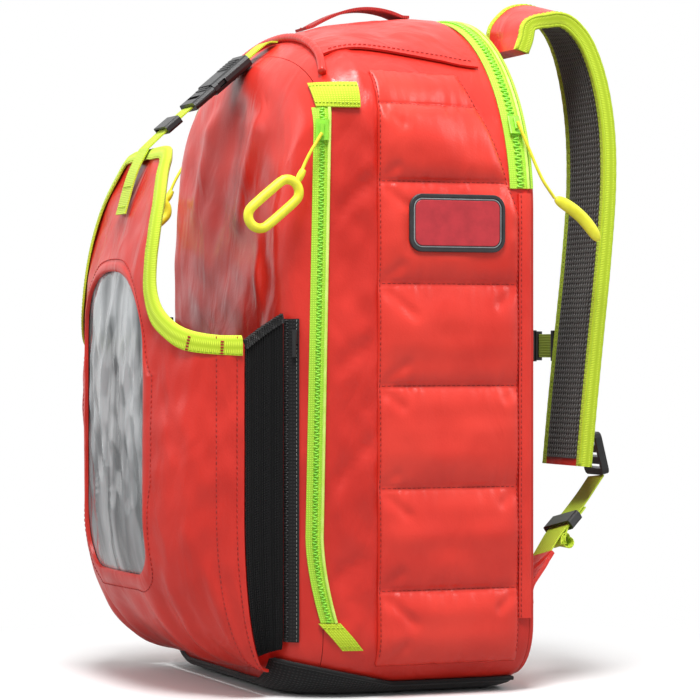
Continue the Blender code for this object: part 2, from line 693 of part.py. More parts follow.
def make_side_zips():
    heights = np.concatenate([
        np.linspace(SIDE_ZIP_BOTTOM_Z, SIDE_ZIP_STRAIGHT_Z[0], 6, endpoint=False),
        np.linspace(SIDE_ZIP_STRAIGHT_Z[0], SIDE_ZIP_STRAIGHT_Z[1], 4, endpoint=False),
        np.linspace(SIDE_ZIP_STRAIGHT_Z[1], SIDE_ZIP_TOP_Z, 3)])
    across, height = zip_profile(TAPE_WIDTH)
    z, across_grid = np.meshgrid(heights, across, indexing="ij")
    y = side_zip_depth(z) + across_grid
    for side, sign in SIDES:
        s = sign * girth_at(z, y)
        outer = skin(s, y, LAY + np.broadcast_to(height, z.shape))
        slab("side_zip_" + side, skin(s, y, LAY), outer, "lime_zip")


def surface_frame(s, y):
    """Seat point, outward normal and upward in-plane direction at a station."""
    here = skin(s, y)
    out = unit(skin(s, y, 0.01) - here)
    up = unit(skin(s + math.copysign(0.01, s), y) - here)
    up = up if up[2] >= 0 else -up
    return here, out, up


def make_slider(name, seat, out, along, finish):
    """A zip slider: a plate over the coil, grooved to clear it, with a bridge for the pull."""
    across = np.cross(out, along)
    base = LAY + TAPE_THICK + 2 * GAP
    height = COIL_HEIGHT + GAP + SLIDER_PLATE
    centre = np.asarray(seat) + out * (base + height / 2)
    body = block(name, centre, (across, out, along), (SLIDER_WIDTH, height, SLIDER_LENGTH), finish, 0.0008)
    groove_width = COIL_WIDTH + 2 * 0.0006 + 2 * GAP
    groove_height = COIL_HEIGHT + 2 * GAP
    groove = block("groove", np.asarray(seat) + out * (base + groove_height / 2 - GAP),
                   (across, out, along), (groove_width, groove_height, SLIDER_LENGTH * 1.5), finish)
    cut(body, groove)
    top = base + height
    bridge_height = 0.0032
    bridge = block("bridge", np.asarray(seat) + out * (top + bridge_height / 2 - 0.0004),
                   (across, out, along), (0.0030, bridge_height, SLIDER_LENGTH * 0.62), finish, 0.0006)
    cut(body, bridge, "UNION")
    eye = block("eye", np.asarray(seat) + out * (top + 0.0011), (across, out, along),
                (0.02, 0.0014, SLIDER_LENGTH * 0.36), finish)
    return cut(body, eye), top


def pull_direction(lean_deg):
    """Down and forwards, leaning from straight down by the angle."""
    lean = math.radians(lean_deg)
    return np.array([0.0, -math.sin(lean), -math.cos(lean)])


def ring_grip(name, start, finish):
    """An elongated rubber ring grip with the cord that ties it to the slider."""
    hang = pull_direction(SIDE_CORD_DEG)
    direction = pull_direction(SIDE_RING_DEG)
    side = np.array([1.0, 0.0, 0.0])
    wide = np.cross(direction, side)
    count = 18
    sides = 6
    knot = start + hang * SIDE_CORD_LENGTH
    centre = knot + direction * RING_HALF_LENGTH
    straight = RING_HALF_LENGTH - RING_HALF_WIDTH
    turns = np.linspace(0, 2 * math.pi, count, endpoint=False) + math.pi / count
    lengthwise = RING_HALF_WIDTH * np.cos(turns) + np.copysign(straight, np.cos(turns))
    path = centre + direction * lengthwise[:, None] + wide * RING_HALF_WIDTH * np.sin(turns)[:, None]
    rings = []
    for k in range(count):
        tangent = unit(path[(k + 1) % count] - path[k - 1])
        out = np.cross(tangent, side)
        wheel = [RING_TUBE * (math.cos(a) * out + math.sin(a) * side)
                 for a in np.linspace(0, 2 * math.pi, sides, endpoint=False)]
        rings.append(path[k] + np.array(wheel))
    rings = np.array(rings)
    faces = ring_faces(count + 1, sides)
    faces = [tuple(i % (count * sides) for i in face) for face in faces]
    grip = add_solid(name, rings.reshape(-1, 3), faces, finish, 60)
    cord_path = [start, (start + knot) / 2, knot + direction * RING_TUBE * 0.3]
    return cut(grip, tube("cord", cord_path, PULL_RADIUS, finish, 6), "UNION")


def side_zip_run(sign):
    """Seat, outward and upward directions of a side zip where its slider runs."""
    low, high = SIDE_ZIP_STRAIGHT_Z
    ends = [np.array([sign * float(half_width(side_zip_depth(z))), float(side_zip_depth(z)), z])
            for z in (low, high)]
    up = unit(ends[1] - ends[0])
    seat = ends[0] + up * (SIDE_SLIDER_Z - low) / up[2]
    y = seat[1]
    slope = float(half_width(y + 1e-4) - half_width(y - 1e-4)) / 2e-4
    out = unit(np.array([float(sign), -slope, 0.0]))
    out = unit(out - up * np.dot(out, up))
    return seat, out, up


def make_side_sliders():
    """Both side sliders near the top of their zips, each with its ring pull."""
    for side, sign in SIDES:
        seat, out, up = side_zip_run(sign)
        slider, top = make_slider("side_zip_slider_" + side, seat, out, up, "lime_zip")
        runner = joint_empty("joint_side_zip_" + side, seat)
        carry(runner, slider)
        eye = seat + out * (top + 0.0028 + PULL_RADIUS + GAP) - up * 0.003
        pull = ring_grip("side_zip_pull_" + side, eye, "yellow_rubber")
        swing = joint_empty("joint_side_pull_" + side, eye, runner)
        carry(swing, pull)


def make_zip_tabs():
    """Lime webbing garages at the top of the side zips and tabs at their lower ends."""
    for side, sign in SIDES:
        low = SIDE_ZIP_TOP_Z + GAP
        garage_z = np.linspace(low, low + GARAGE_HEIGHT, 4)
        tab_z = np.linspace(SIDE_ZIP_BOTTOM_Z - GAP - END_TAB_HEIGHT, SIDE_ZIP_BOTTOM_Z - GAP, 4)
        plans = (("zip_garage_" + side, garage_z, np.full(4, GARAGE_Y), GARAGE_WIDTH),
                 ("zip_end_tab_" + side, tab_z, side_zip_depth(tab_z), END_TAB_WIDTH))
        for name, heights, centres, width in plans:
            across = np.linspace(-width / 2, width / 2, 5)
            z = np.broadcast_to(heights[:, None], (4, 5))
            y = centres[:, None] + across[None, :]
            s = sign * girth_at(z, y)
            slab(name, skin(s, y, LAY), skin(s, y, LAY + 2 * WEBBING_THICK), "lime_webbing")


def rear_zip_stations():
    """Girth stations of the rear zip's open run, from one side over the arch to the other."""
    low = float(girth_at(REAR_ZIP_LOW_Z, REAR_Y - 0.01))
    half = np.linspace(low, 4, 10)
    return np.concatenate([half, -half[-2::-1]])


def make_rear_zip():
    """The main shell's half of the rear zip: a broad tape with the coil along its middle."""
    rear = REAR_Y - GAP
    coil = REAR_ZIP_COIL_WIDTH
    depths = rear - np.array([REAR_ZIP_WIDTH, 0.0055 + coil, 0.0050 + coil, 0.0050, 0.0045, 0.0])
    height = TAPE_THICK + np.array([0, 0, COIL_HEIGHT, COIL_HEIGHT, 0, 0])
    s, y = np.meshgrid(rear_zip_stations(), depths, indexing="ij")
    outer = skin(s, y, LAY + np.broadcast_to(height, s.shape))
    slab("rear_zip_tape", skin(s, y, LAY), outer, "lime_zip")


def make_rear_flaps():
    """Plain red flaps that cover the rear zip below the arch, one down each side."""
    heights = np.append(np.linspace(REAR_FLAP_LOW_Z, REAR_ZIP_LOW_Z - 0.035, 4), REAR_ZIP_LOW_Z - 0.004)
    across = np.linspace(0, 1, 3)
    z = np.broadcast_to(heights[:, None], (5, 3))
    front = QUILT_REAR_Y + LAY
    y = front + (REAR_Y - front) * across[None, :] + 0 * z
    thick = QUILT_EDGE + REAR_FLAP_THICK * np.array([0.0, 1.0, 0.4])[None, :] + 0 * z
    for side, sign in SIDES:
        s = sign * girth_at(z, y)
        slab("rear_zip_flap_" + side, skin(s, y, LAY), skin(s, y, LAY + thick), "red_tarpaulin",
             smooth_deg=60)


def make_rear_slider():
    """The rear slider on the arch, and its hanging moulded pull."""
    lean = math.radians(REAR_ZIP_REST_DEG)
    spring_z = float(top_height(REAR_Y) - arch_rise(REAR_Y))
    out = np.array([math.sin(lean), 0.0, math.cos(lean)])
    along = np.array([math.cos(lean), 0.0, -math.sin(lean)])
    across = np.array([0.0, 1.0, 0.0])
    y = REAR_Y - GAP - 0.0050 - REAR_ZIP_COIL_WIDTH / 2
    pivot = np.array([0, y, spring_z])
    seat = pivot + out * PACK_HALF_WIDTH
    plate_height = 0.0024
    base = LAY + TAPE_THICK + COIL_HEIGHT + 2 * GAP
    frame = (across, out, along)
    plate = block("rear_zip_slider", seat + out * (base + plate_height / 2), frame,
                  (0.0105, plate_height, SLIDER_LENGTH), "lime_zip", 0.0008)
    bridge = block("bridge", seat + out * (base + plate_height + 0.0012), frame,
                   (0.0030, 0.0032, SLIDER_LENGTH * 0.6), "lime_zip", 0.0006)
    cut(plate, bridge, "UNION")
    runner = joint_empty("joint_rear_zip", pivot)
    carry(runner, plate)
    eye = seat + out * (base + plate_height + 0.0028 + PULL_RADIUS + 2 * GAP)
    cord_points = [eye + np.array(step) for step in REAR_CORD]
    cord = tube("rear_zip_pull", smooth_path(cord_points, 7), PULL_RADIUS, "yellow_rubber", 6)
    grip_start = cord_points[-1]
    reach = np.array(REAR_GRIP_REACH)
    axis = unit(reach)
    wide = np.array([1.0, 0, 0])
    turns = np.linspace(0, 2 * math.pi, 8, endpoint=False)
    rings = []
    for share, swell in ((0, 0.5), (0.06, 0.85), (0.35, 1.0), (0.7, 1.0), (0.94, 0.85), (1.0, 0.45)):
        centre = grip_start + reach * share + np.array([0, 0.003, 0.003]) * math.sin(share * math.pi)
        rings.append([centre + REAR_GRIP_RADIUS * swell * (math.cos(t) * wide * 0.62
                                                            + math.sin(t) * np.cross(axis, wide))
                      for t in turns])
    grip = loft("grip", rings, "yellow_rubber", 60)
    cut(cord, grip, "UNION")
    swing = joint_empty("joint_rear_pull", eye, runner)
    carry(swing, cord)


# ---------------------------------------------------------------- front sleeve
def sleeve_row(z):
    """The row number of height z: 0..1 round the bottom, then one unit per SLEEVE_ROW."""
    t = np.clip((SLEEVE_FULL_Z - z) / (SLEEVE_FULL_Z - SLEEVE_BOTTOM_Z), 0, 1)
    round_part = 1 - np.arcsin(t ** (SLEEVE_BOTTOM_POWER / 2)) / (math.pi / 2)
    return np.where(z < SLEEVE_FULL_Z, round_part, 1 + (z - SLEEVE_FULL_Z) / SLEEVE_ROW)


def sleeve_section(row):
    """Height and fullness (0 at the bottom edge, 1 where the sleeve is full) of a row."""
    power = 2 / SLEEVE_BOTTOM_POWER
    angle = (1 - np.clip(row, 0, 1)) * math.pi / 2
    z = SLEEVE_FULL_Z - (SLEEVE_FULL_Z - SLEEVE_BOTTOM_Z) * np.sin(angle) ** power
    fullness = np.cos(angle) ** power
    return z + np.clip(row - 1, 0, None) * SLEEVE_ROW, fullness


def sleeve_edge(row):
    """Half width, depth and height of the seam between the sleeve's front and its gusset."""
    z, full = sleeve_section(row)
    x = SLEEVE_HALF_WIDTH - SLEEVE_BOTTOM_NARROWING * (1 - full)
    return x, SLEEVE_REAR_Y - SLEEVE_GUSSET_DEPTH * full, z


def sleeve_surface(turn, row):
    """The sleeve's front: turn runs from -90 to 90 degrees across it, in radians."""
    power = 2 / SLEEVE_PLAN_POWER
    edge_x, edge_y, z = sleeve_edge(row)
    _, full = sleeve_section(row)
    across = np.sign(np.sin(turn)) * np.abs(np.sin(turn)) ** power
    bulge = np.abs(np.cos(turn)) ** power
    lean = FLAP_LEAN * np.clip((z - FLAP_LEAN_Z) / (SLEEVE_TOP_Z - FLAP_LEAN_Z), 0, 1.3) ** 2
    return np.stack([edge_x * across, edge_y - SLEEVE_BULGE * full * bulge + lean * bulge, z + 0 * bulge],
                    axis=-1)


def sleeve_point(turn, row, lift=0.0):
    """A point lifted off the sleeve's front along its outward normal."""
    turn, row = np.broadcast_arrays(np.asarray(turn, float), np.asarray(row, float))
    here = sleeve_surface(turn, row)
    step = np.where(turn > 0, -1e-3, 1e-3)
    along_turn = (sleeve_surface(turn + step, row) - here) / step[..., None]
    along_row = (sleeve_surface(turn, row + 1e-4) - here) / 1e-4
    return here + unit(np.cross(along_turn, along_row)) * np.asarray(lift)[..., None]


def sleeve_grid(lift):
    """The whole front as a grid, from its bottom edge to above the flap."""
    turns = np.linspace(-math.pi / 2, math.pi / 2, 19)
    top = float(sleeve_row(SLEEVE_TOP_Z + 0.02))
    flat = float(sleeve_row(FLAP_LEAN_Z))
    rows = np.concatenate([np.linspace(0, 1, 6, endpoint=False), np.linspace(1, flat, 2, endpoint=False),
                           np.linspace(flat, top, 5)])
    turn, row = np.meshgrid(turns, rows)
    return sleeve_point(turn, row, lift)


def flap_rim():
    """Front view line of the sleeve's upper edge: from its side, over the flap, to the other."""
    shoulder = SLEEVE_SHOULDER_Z
    neck = FLAP_NECK_HALF_WIDTH
    half = [(SLEEVE_HALF_WIDTH + 0.006, 0.0, shoulder),
            (SLEEVE_HALF_WIDTH - 0.018, 0.0, shoulder + 0.007),
            (SLEEVE_HALF_WIDTH - 0.034, 0.0, shoulder + 0.016),
            (neck + 0.012, 0.0, shoulder + 0.028),
            (neck + 0.004, 0.0, shoulder + 0.044),
            (neck, 0.0, shoulder + 0.066),
            (neck - 0.003, 0.0, shoulder + 0.088),
            (neck - 0.010, 0.0, shoulder + 0.115),
            (FLAP_TOP_HALF_WIDTH + 0.006, 0.0, SLEEVE_TOP_Z - 0.018),
            (FLAP_TOP_HALF_WIDTH - 0.001, 0.0, SLEEVE_TOP_Z - 0.006),
            (FLAP_TOP_HALF_WIDTH - 0.014, 0.0, SLEEVE_TOP_Z),
            (0.0, 0.0, SLEEVE_TOP_Z)]
    walk = smooth_path(half, 17)[:, [0, 2]]
    return np.concatenate([walk, walk[-2::-1] * np.array([-1, 1])])


def flap_outline():
    """The closed front view outline that trims the sleeve's front."""
    rim = flap_rim()
    wide = SLEEVE_HALF_WIDTH + 0.02
    shoulder = SLEEVE_SHOULDER_Z - 0.001
    below = SLEEVE_BOTTOM_Z - 0.07
    return np.concatenate([rim, [(-wide, shoulder), (-wide, below), (wide, below), (wide, shoulder)]])


def window_outline(grow=0.0):
    """Front view outline of the window: rounded at the bottom, arched at the top."""
    half = WINDOW_HALF_WIDTH + grow
    low = WINDOW_BOTTOM_Z - grow
    high = WINDOW_TOP_Z + grow
    points = []
    for turn in np.linspace(-90, 0, 4):
        a = math.radians(turn)
        points.append((half - WINDOW_CORNER + WINDOW_CORNER * math.cos(a),
                       low + WINDOW_CORNER + WINDOW_CORNER * math.sin(a)))
    for turn in np.linspace(0, 90, 7):
        a = math.radians(turn)
        points.append((half * math.cos(a) ** 0.8, high - WINDOW_ARCH + WINDOW_ARCH * math.sin(a)))
    points = np.array(points)
    return np.concatenate([points, points[-2::-1] * np.array([-1, 1])])


def make_sleeve_front():
    """The red front of the sleeve with its window opening and the flap that the strap closes."""
    front = slab("sleeve_front", sleeve_grid(-SLEEVE_WALL), sleeve_grid(0.0), "red_tarpaulin",
                 smooth_deg=50)
    cut(front, front_view_prism(flap_outline()), "INTERSECT")
    cut(front, front_view_prism(window_outline()))


def make_window():
    """The clear sheet behind the window opening, with a hem all round."""
    outer = sleeve_grid(-SLEEVE_WALL - LAY)
    inner = sleeve_grid(-SLEEVE_WALL - LAY - WINDOW_SHEET)
    sheet = slab("sleeve_window", inner, outer, "clear_vinyl", smooth_deg=50)
    cut(sheet, front_view_prism(window_outline(WINDOW_HEM)), "INTERSECT")


def sleeve_turn_at(x, row):
    """The turn at which the sleeve's front stands at a given x."""
    edge_x, _, _ = sleeve_edge(row)
    ratio = np.clip(np.abs(x) / edge_x, 0, 1)
    return np.sign(x) * np.arcsin(ratio ** (SLEEVE_PLAN_POWER / 2))


def rim_frame(lift=0.0):
    """Points along the trimmed edge, with its tangent, outward and inward directions."""
    rim = flap_rim()
    row = sleeve_row(rim[:, 1])
    edge_x, _, _ = sleeve_edge(row)
    keep = np.abs(rim[:, 0]) < edge_x - 0.0008
    rim, row = rim[keep], row[keep]
    turn = sleeve_turn_at(rim[:, 0], row)
    points = sleeve_point(turn, row, lift)
    out = unit(sleeve_point(turn, row, lift + 0.01) - points)
    along = unit(np.gradient(points, axis=0))
    out = unit(out - along * np.sum(out * along, axis=1, keepdims=True))
    inward = np.cross(out, along)
    middle = len(inward) // 2
    return points, along, out, inward * -np.sign(inward[middle, 2])


def make_binding():
    """Lime binding folded over the sleeve's upper edge: a U-shaped channel along the rim."""
    points, along, out, inward = rim_frame(-SLEEVE_WALL / 2)
    half = SLEEVE_WALL / 2 + BINDING_EASE
    web = 5 * GAP
    thick = BINDING_THICK
    section = np.array([(BINDING_LEG, half), (-web, half), (-web, -half), (BINDING_LEG, -half),
                        (BINDING_LEG, -half - thick), (-web - thick, -half - thick),
                        (-web - thick, half + thick), (BINDING_LEG, half + thick)])
    rings = [p + section[:, :1] * i + section[:, 1:] * o for p, i, o in zip(points, inward, out)]
    loft("sleeve_binding", rings, "lime_webbing", 40)


def make_gussets():
    """Black stretch gussets that join the sleeve's front to the pack, one on each side."""
    top_row = float(sleeve_row(SLEEVE_SHOULDER_Z - 0.002))
    rows = np.concatenate([np.linspace(0.30, 1, 6, endpoint=False), np.linspace(1, top_row, 3)])
    share = np.linspace(0, 1, 4)
    for side, sign in SIDES:
        front_x, front_y, front_z = sleeve_edge(rows)
        rise = (GUSSET_TOP_Z - front_z[-1]) * (front_z - front_z[0]) / (front_z[-1] - front_z[0])
        rear_z = np.maximum(front_z + rise, 0.040)
        seat = LAY + TAPE_THICK + COIL_HEIGHT + GAP
        rear = skin(girth_at(rear_z, SLEEVE_ZIP_Y), np.full_like(rear_z, SLEEVE_ZIP_Y), seat + GUSSET_THICK)
        front = np.column_stack([front_x, front_y + 3 * GAP, front_z])
        bow = 0.004 * np.sin(share * math.pi)[None, :, None] * np.array([-1.0, 0, 0])
        outer = rear[:, None, :] + (front - rear)[:, None, :] * share[None, :, None] + bow
        inner = outer - np.array([GUSSET_THICK, 0.0, 0.0])
        inner[:, 0] = skin(girth_at(rear_z, SLEEVE_ZIP_Y), np.full_like(rear_z, SLEEVE_ZIP_Y), seat)
        flip = np.array([sign, 1, 1])
        slab("sleeve_gusset_" + side, inner * flip, outer * flip, "black_nylon")


def make_sleeve_zips():
    """Black coil zips that let the gussets open, sewn along the front shell."""
    heights = np.linspace(0.045, GUSSET_TOP_Z, 5)
    depth = SLEEVE_ZIP_Y + np.array([0.0080, 0.0030, 0.0025, -0.0010])
    height = TAPE_THICK + np.array([0, 0, COIL_HEIGHT, COIL_HEIGHT])
    z, y = np.meshgrid(heights, depth, indexing="ij")
    for side, sign in SIDES:
        s = sign * girth_at(z, y)
        outer = skin(s, y, LAY + np.broadcast_to(height, z.shape))
        slab("sleeve_zip_" + side, skin(s, y, LAY), outer, "black_nylon")


def make_sleeve_sliders():
    """Small black sliders at the top of the sleeve's zips, each with its flat tab."""
    for side, sign in SIDES:
        y = SLEEVE_ZIP_Y + 0.0058
        s = sign * float(girth_at(GUSSET_ZIP_SLIDER_Z, y))
        seat, out, up = surface_frame(s, y)
        centre = seat + out * (LAY + TAPE_THICK + GAP + 0.0011)
        frame = (np.cross(out, up), out, up)
        slider = block("sleeve_zip_slider_" + side, centre, frame, (0.0045, 0.0022, 0.011),
                       "black_plastic", 0.0006)
        tab = block("tab", centre + out * 0.0014 - up * 0.007, frame, (0.0034, 0.0014, 0.018),
                    "black_plastic", 0.0004)
        cut(slider, tab, "UNION")
        carry(joint_empty("joint_sleeve_zip_" + side, seat), slider)


# ---------------------------------------------------------------- closure strap
def closure_frame():
    start = np.array(CLOSURE_TOP)
    end = np.array(CLOSURE_END)
    along = unit(end - start)
    across = np.array([1.0, 0, 0])
    out = np.cross(across, along)
    out = out if out[2] > 0 else -out
    return start, end, along, across, out


def make_closure():
    """Hood webbing, side-release buckle, elastic keeper and the webbing sewn to the flap."""
    start, end, along, across, out = closure_frame()
    frame = (across, out, along)
    socket_start = BUCKLE_START
    socket_end = socket_start + SOCKET_LENGTH
    anchor = skin(4.0, HOOD_PIPING_Y - HOOD_PIPING_RADIUS - 3 * GAP, LAY + 1.5 * WEBBING_THICK)
    upper = smooth_path([anchor, start + along * 0.014, start + along * (socket_start + 0.004)], 8)
    ribbon("closure_webbing_upper", upper, across, CLOSURE_WIDTH, WEBBING_THICK, "lime_webbing")

    socket = block("buckle_socket", start + along * (socket_start + socket_end) / 2, frame,
                   (SOCKET_WIDTH, SOCKET_THICK, SOCKET_LENGTH), "black_plastic", 0.0035)
    mouth_depth = PLUG_INSERT + 0.004
    hollow_w = SOCKET_WIDTH - 2 * SOCKET_WALL
    hollow_t = SOCKET_THICK - 2 * SOCKET_WALL
    cut(socket, block("mouth", start + along * (socket_end - mouth_depth / 2 + 0.001), frame,
                      (hollow_w, hollow_t, mouth_depth + 0.002), "black_plastic"))
    cut(socket, block("windows", start + along * (socket_end - PLUG_INSERT * 0.62), frame,
                      (SOCKET_WIDTH * 1.4, hollow_t * 0.72, PLUG_INSERT * 0.55), "black_plastic"))
    slot_thick = WEBBING_THICK + 4 * GAP
    cut(socket, block("slot", start + along * (socket_start + 0.004), frame,
                      (CLOSURE_WIDTH + 4 * GAP, slot_thick, 0.016), "black_plastic"))

    plug_stock = block("buckle_plug", start + along * (socket_end + GAP + PLUG_STOCK_LENGTH / 2), frame,
                       (SOCKET_WIDTH, SOCKET_THICK * 0.72, PLUG_STOCK_LENGTH), "black_plastic", 0.003)
    prong_t = hollow_t - 4 * GAP
    for sign in (-1, 1):
        centre = start + along * (socket_end - PLUG_INSERT / 2 + 0.001) \
            + across * sign * (hollow_w / 2 - 2 * GAP - PRONG_WIDTH / 2)
        cut(plug_stock, block("prong", centre, frame, (PRONG_WIDTH, prong_t, PLUG_INSERT + 0.002),
                              "black_plastic", 0.0012), "UNION")
    guide = start + along * (socket_end - PLUG_INSERT * 0.35)
    cut(plug_stock, block("guide", guide, frame, (0.006, prong_t, PLUG_INSERT * 0.7 + 0.002),
                          "black_plastic", 0.0012), "UNION")
    cut(plug_stock, block("slot", start + along * (socket_end + PLUG_STOCK_LENGTH * 0.62), frame,
                          (CLOSURE_WIDTH + 4 * GAP, SOCKET_THICK * 1.5, 0.0042), "black_plastic"))
    plug_end = socket_end + GAP + PLUG_STOCK_LENGTH

    span = np.linalg.norm(end - start)
    over = BINDING_EASE + BINDING_THICK + WEBBING_THICK + GAP
    seat = sleeve_point(0.0, sleeve_row(SLEEVE_TOP_Z - 0.022), over)
    low = sleeve_point(0.0, sleeve_row(SLEEVE_TOP_Z - 0.052), WEBBING_THICK + LAY)
    bend = sleeve_point(0.0, sleeve_row(SLEEVE_TOP_Z - 0.002), over)
    lower = smooth_path([start + along * (plug_end + GAP), start + along * (plug_end + 0.010),
                         (start + along * (span - 0.012) + bend) / 2, bend, seat, low], 14)
    ribbon("closure_webbing_lower", lower, across, CLOSURE_WIDTH, WEBBING_THICK, "lime_webbing")
    keeper = block("closure_keeper", start + along * CLOSURE_KEEPER_AT, frame,
                   (CLOSURE_WIDTH + 0.0060, 0.0072, KEEPER_LENGTH), "black_nylon", 0.0018)
    cut(keeper, block("hole", start + along * CLOSURE_KEEPER_AT, frame,
                      (CLOSURE_WIDTH + 0.0012, 0.0042, KEEPER_LENGTH * 2), "black_nylon"))


# ---------------------------------------------------------------- badge
def make_badge():
    """A plain moulded patch on the right quilt, lying on the crowns of its cushions."""
    outline = rounded_rectangle(BADGE_LENGTH / 2, BADGE_HEIGHT / 2, BADGE_CORNER, steps=4)
    y = BADGE_Y + outline[:, 0]
    z = BADGE_Z + outline[:, 1]
    crown = LAY + QUILT_EDGE + QUILT_PUFF + GAP
    level = float(half_width(np.array(BADGE_Y))) + crown
    rings = []
    for x, inset in ((level, 0.0), (level + BADGE_THICK * 0.7, 0.0), (level + BADGE_THICK, 0.0008)):
        scale = 1 - inset / (BADGE_HEIGHT / 2)
        rings.append(np.column_stack([np.full(len(y), x), BADGE_Y + (y - BADGE_Y) * scale,
                                      BADGE_Z + (z - BADGE_Z) * scale]))
    loft("badge_patch", rings, "badge_rubber")


# ---------------------------------------------------------------- back panel and harness
def panel_ring(y, inset):
    """The pack's rear outline, drawn in by inset, at depth y."""
    points = skin(girth_stations(), REAR_Y, -inset)
    points[:, 1] = y
    return points


def make_back_panel():
    """The panel that the harness is sewn to, and the stiffener sheet on its inner face."""
    front = REAR_Y + GAP
    back = front + PANEL_THICK
    rings = [panel_ring(front, 0.0002), panel_ring(back - PANEL_EDGE_ROUND, 0.0002),
             panel_ring(back - PANEL_EDGE_ROUND * 0.3, PANEL_EDGE_ROUND * 0.35),
             panel_ring(back, PANEL_EDGE_ROUND)]
    loft("back_panel", rings, "red_tarpaulin", 60)
    loft("frame_sheet", [panel_ring(REAR_Y - FRAME_SHEET_THICK, FRAME_SHEET_INSET),
                         panel_ring(REAR_Y, FRAME_SHEET_INSET)], "grey_sheet")


def make_panel_zip():
    """The panel's half of the rear zip, folded over the panel's edge."""
    s_row = rear_zip_stations()
    front = REAR_Y + GAP
    depths = front + np.array([0.0, PANEL_THICK - PANEL_EDGE_ROUND])
    s, y = np.meshgrid(s_row, depths, indexing="ij")
    base = skin(s, np.full_like(y, REAR_Y), LAY)
    top = skin(s, np.full_like(y, REAR_Y), LAY + TAPE_THICK + COIL_HEIGHT)
    base[..., 1] = y
    top[..., 1] = y
    slab("panel_zip_tape", base, top, "lime_zip")


def make_back_pad():
    """The padded mesh back, crowned towards the wearer."""
    front = REAR_Y + GAP + PANEL_THICK + GAP
    middle_z = (BACK_PAD_BOTTOM_Z + BACK_PAD_TOP_Z) / 2
    half_z = (BACK_PAD_TOP_Z - BACK_PAD_BOTTOM_Z) / 2
    outline = rounded_rectangle(BACK_PAD_HALF_WIDTH, half_z, BACK_PAD_CORNER, steps=5)
    rings = []
    for rise, inset in ((0, 0.0), (0.45, 0.0), (0.8, 0.004), (0.95, 0.012), (1.0, 0.030)):
        k = np.array([1 - inset / BACK_PAD_HALF_WIDTH, 1 - inset / half_z])
        flat = outline * k
        # the pad narrows upwards with the arch of the panel
        taper = 1 - 0.26 * np.clip((flat[:, 1] / half_z - 0.25) / 0.75, 0, 1) ** 1.6
        rings.append(np.column_stack([flat[:, 0] * taper, np.full(len(flat), front + rise * BACK_PAD_THICK),
                                      middle_z + flat[:, 1]]))
    loft("back_pad", rings, "spacer_mesh", 50)


def strap_route(side):
    """Depth and height of a shoulder strap's mid line; the left strap lies lower at the top."""
    panel_back = REAR_Y + 2 * GAP + PANEL_THICK
    foot = panel_back + STRAP_THICK / 2
    if side == "right":
        arch = [(foot, 0.520), (foot + 0.004, 0.532), (0.1225, 0.5440), (0.1400, 0.5535), (0.1575, 0.5520),
                (0.1745, 0.5340), (0.1865, 0.5020), (0.1935, 0.4600), (0.1945, 0.4100)]
    else:
        arch = [(foot, 0.500), (foot + 0.002, 0.508), (0.1200, 0.5180), (0.1340, 0.5240), (0.1500, 0.5200),
                (0.1660, 0.5060), (0.1800, 0.4840), (0.1910, 0.4500), (0.1940, 0.4050)]
    route = arch + [(0.1900, 0.3500), (0.1835, 0.2900), (0.1770, 0.2300), (0.1720, STRAP_END_Z)]
    stretch = (PACK_HEIGHT - STRAP_END_Z) / STRAP_DRAWN_RUN
    return [(y, STRAP_END_Z + (z - STRAP_END_Z) * stretch) for y, z in route]


def strap_paths(side, sign):
    """Mid line and width direction of one shoulder strap."""
    route = strap_route(side)
    points = [(sign * STRAP_CENTRE_X, y, z) for y, z in route]
    path = smooth_path(points, 22)
    bank = math.radians(STRAP_BANK_DEG) * np.clip((path[:, 2] - 0.42) / 0.10, 0, 1)
    foot = np.clip((path[:, 1] - path[0, 1]) / 0.02, 0, 1)
    bank = bank * foot
    across = np.column_stack([np.cos(bank) * sign, np.zeros(len(path)), -np.sin(bank)])
    return path, across


def strap_depth_at(z):
    """Depth of the straps' mid line at height z, on their straight lower run."""
    path, _ = strap_paths("right", 1)
    lower = path[path[:, 2].argmax():]
    return float(np.interp(-z, -lower[:, 2], lower[:, 1]))


def make_shoulder_straps():
    section = rounded_rectangle(STRAP_WIDTH / 2, STRAP_THICK / 2, STRAP_THICK * 0.42, steps=2)
    for side, sign in SIDES:
        path, across = strap_paths(side, sign)
        sweep("shoulder_pad_" + side, path, across, section, "spacer_mesh", 60)


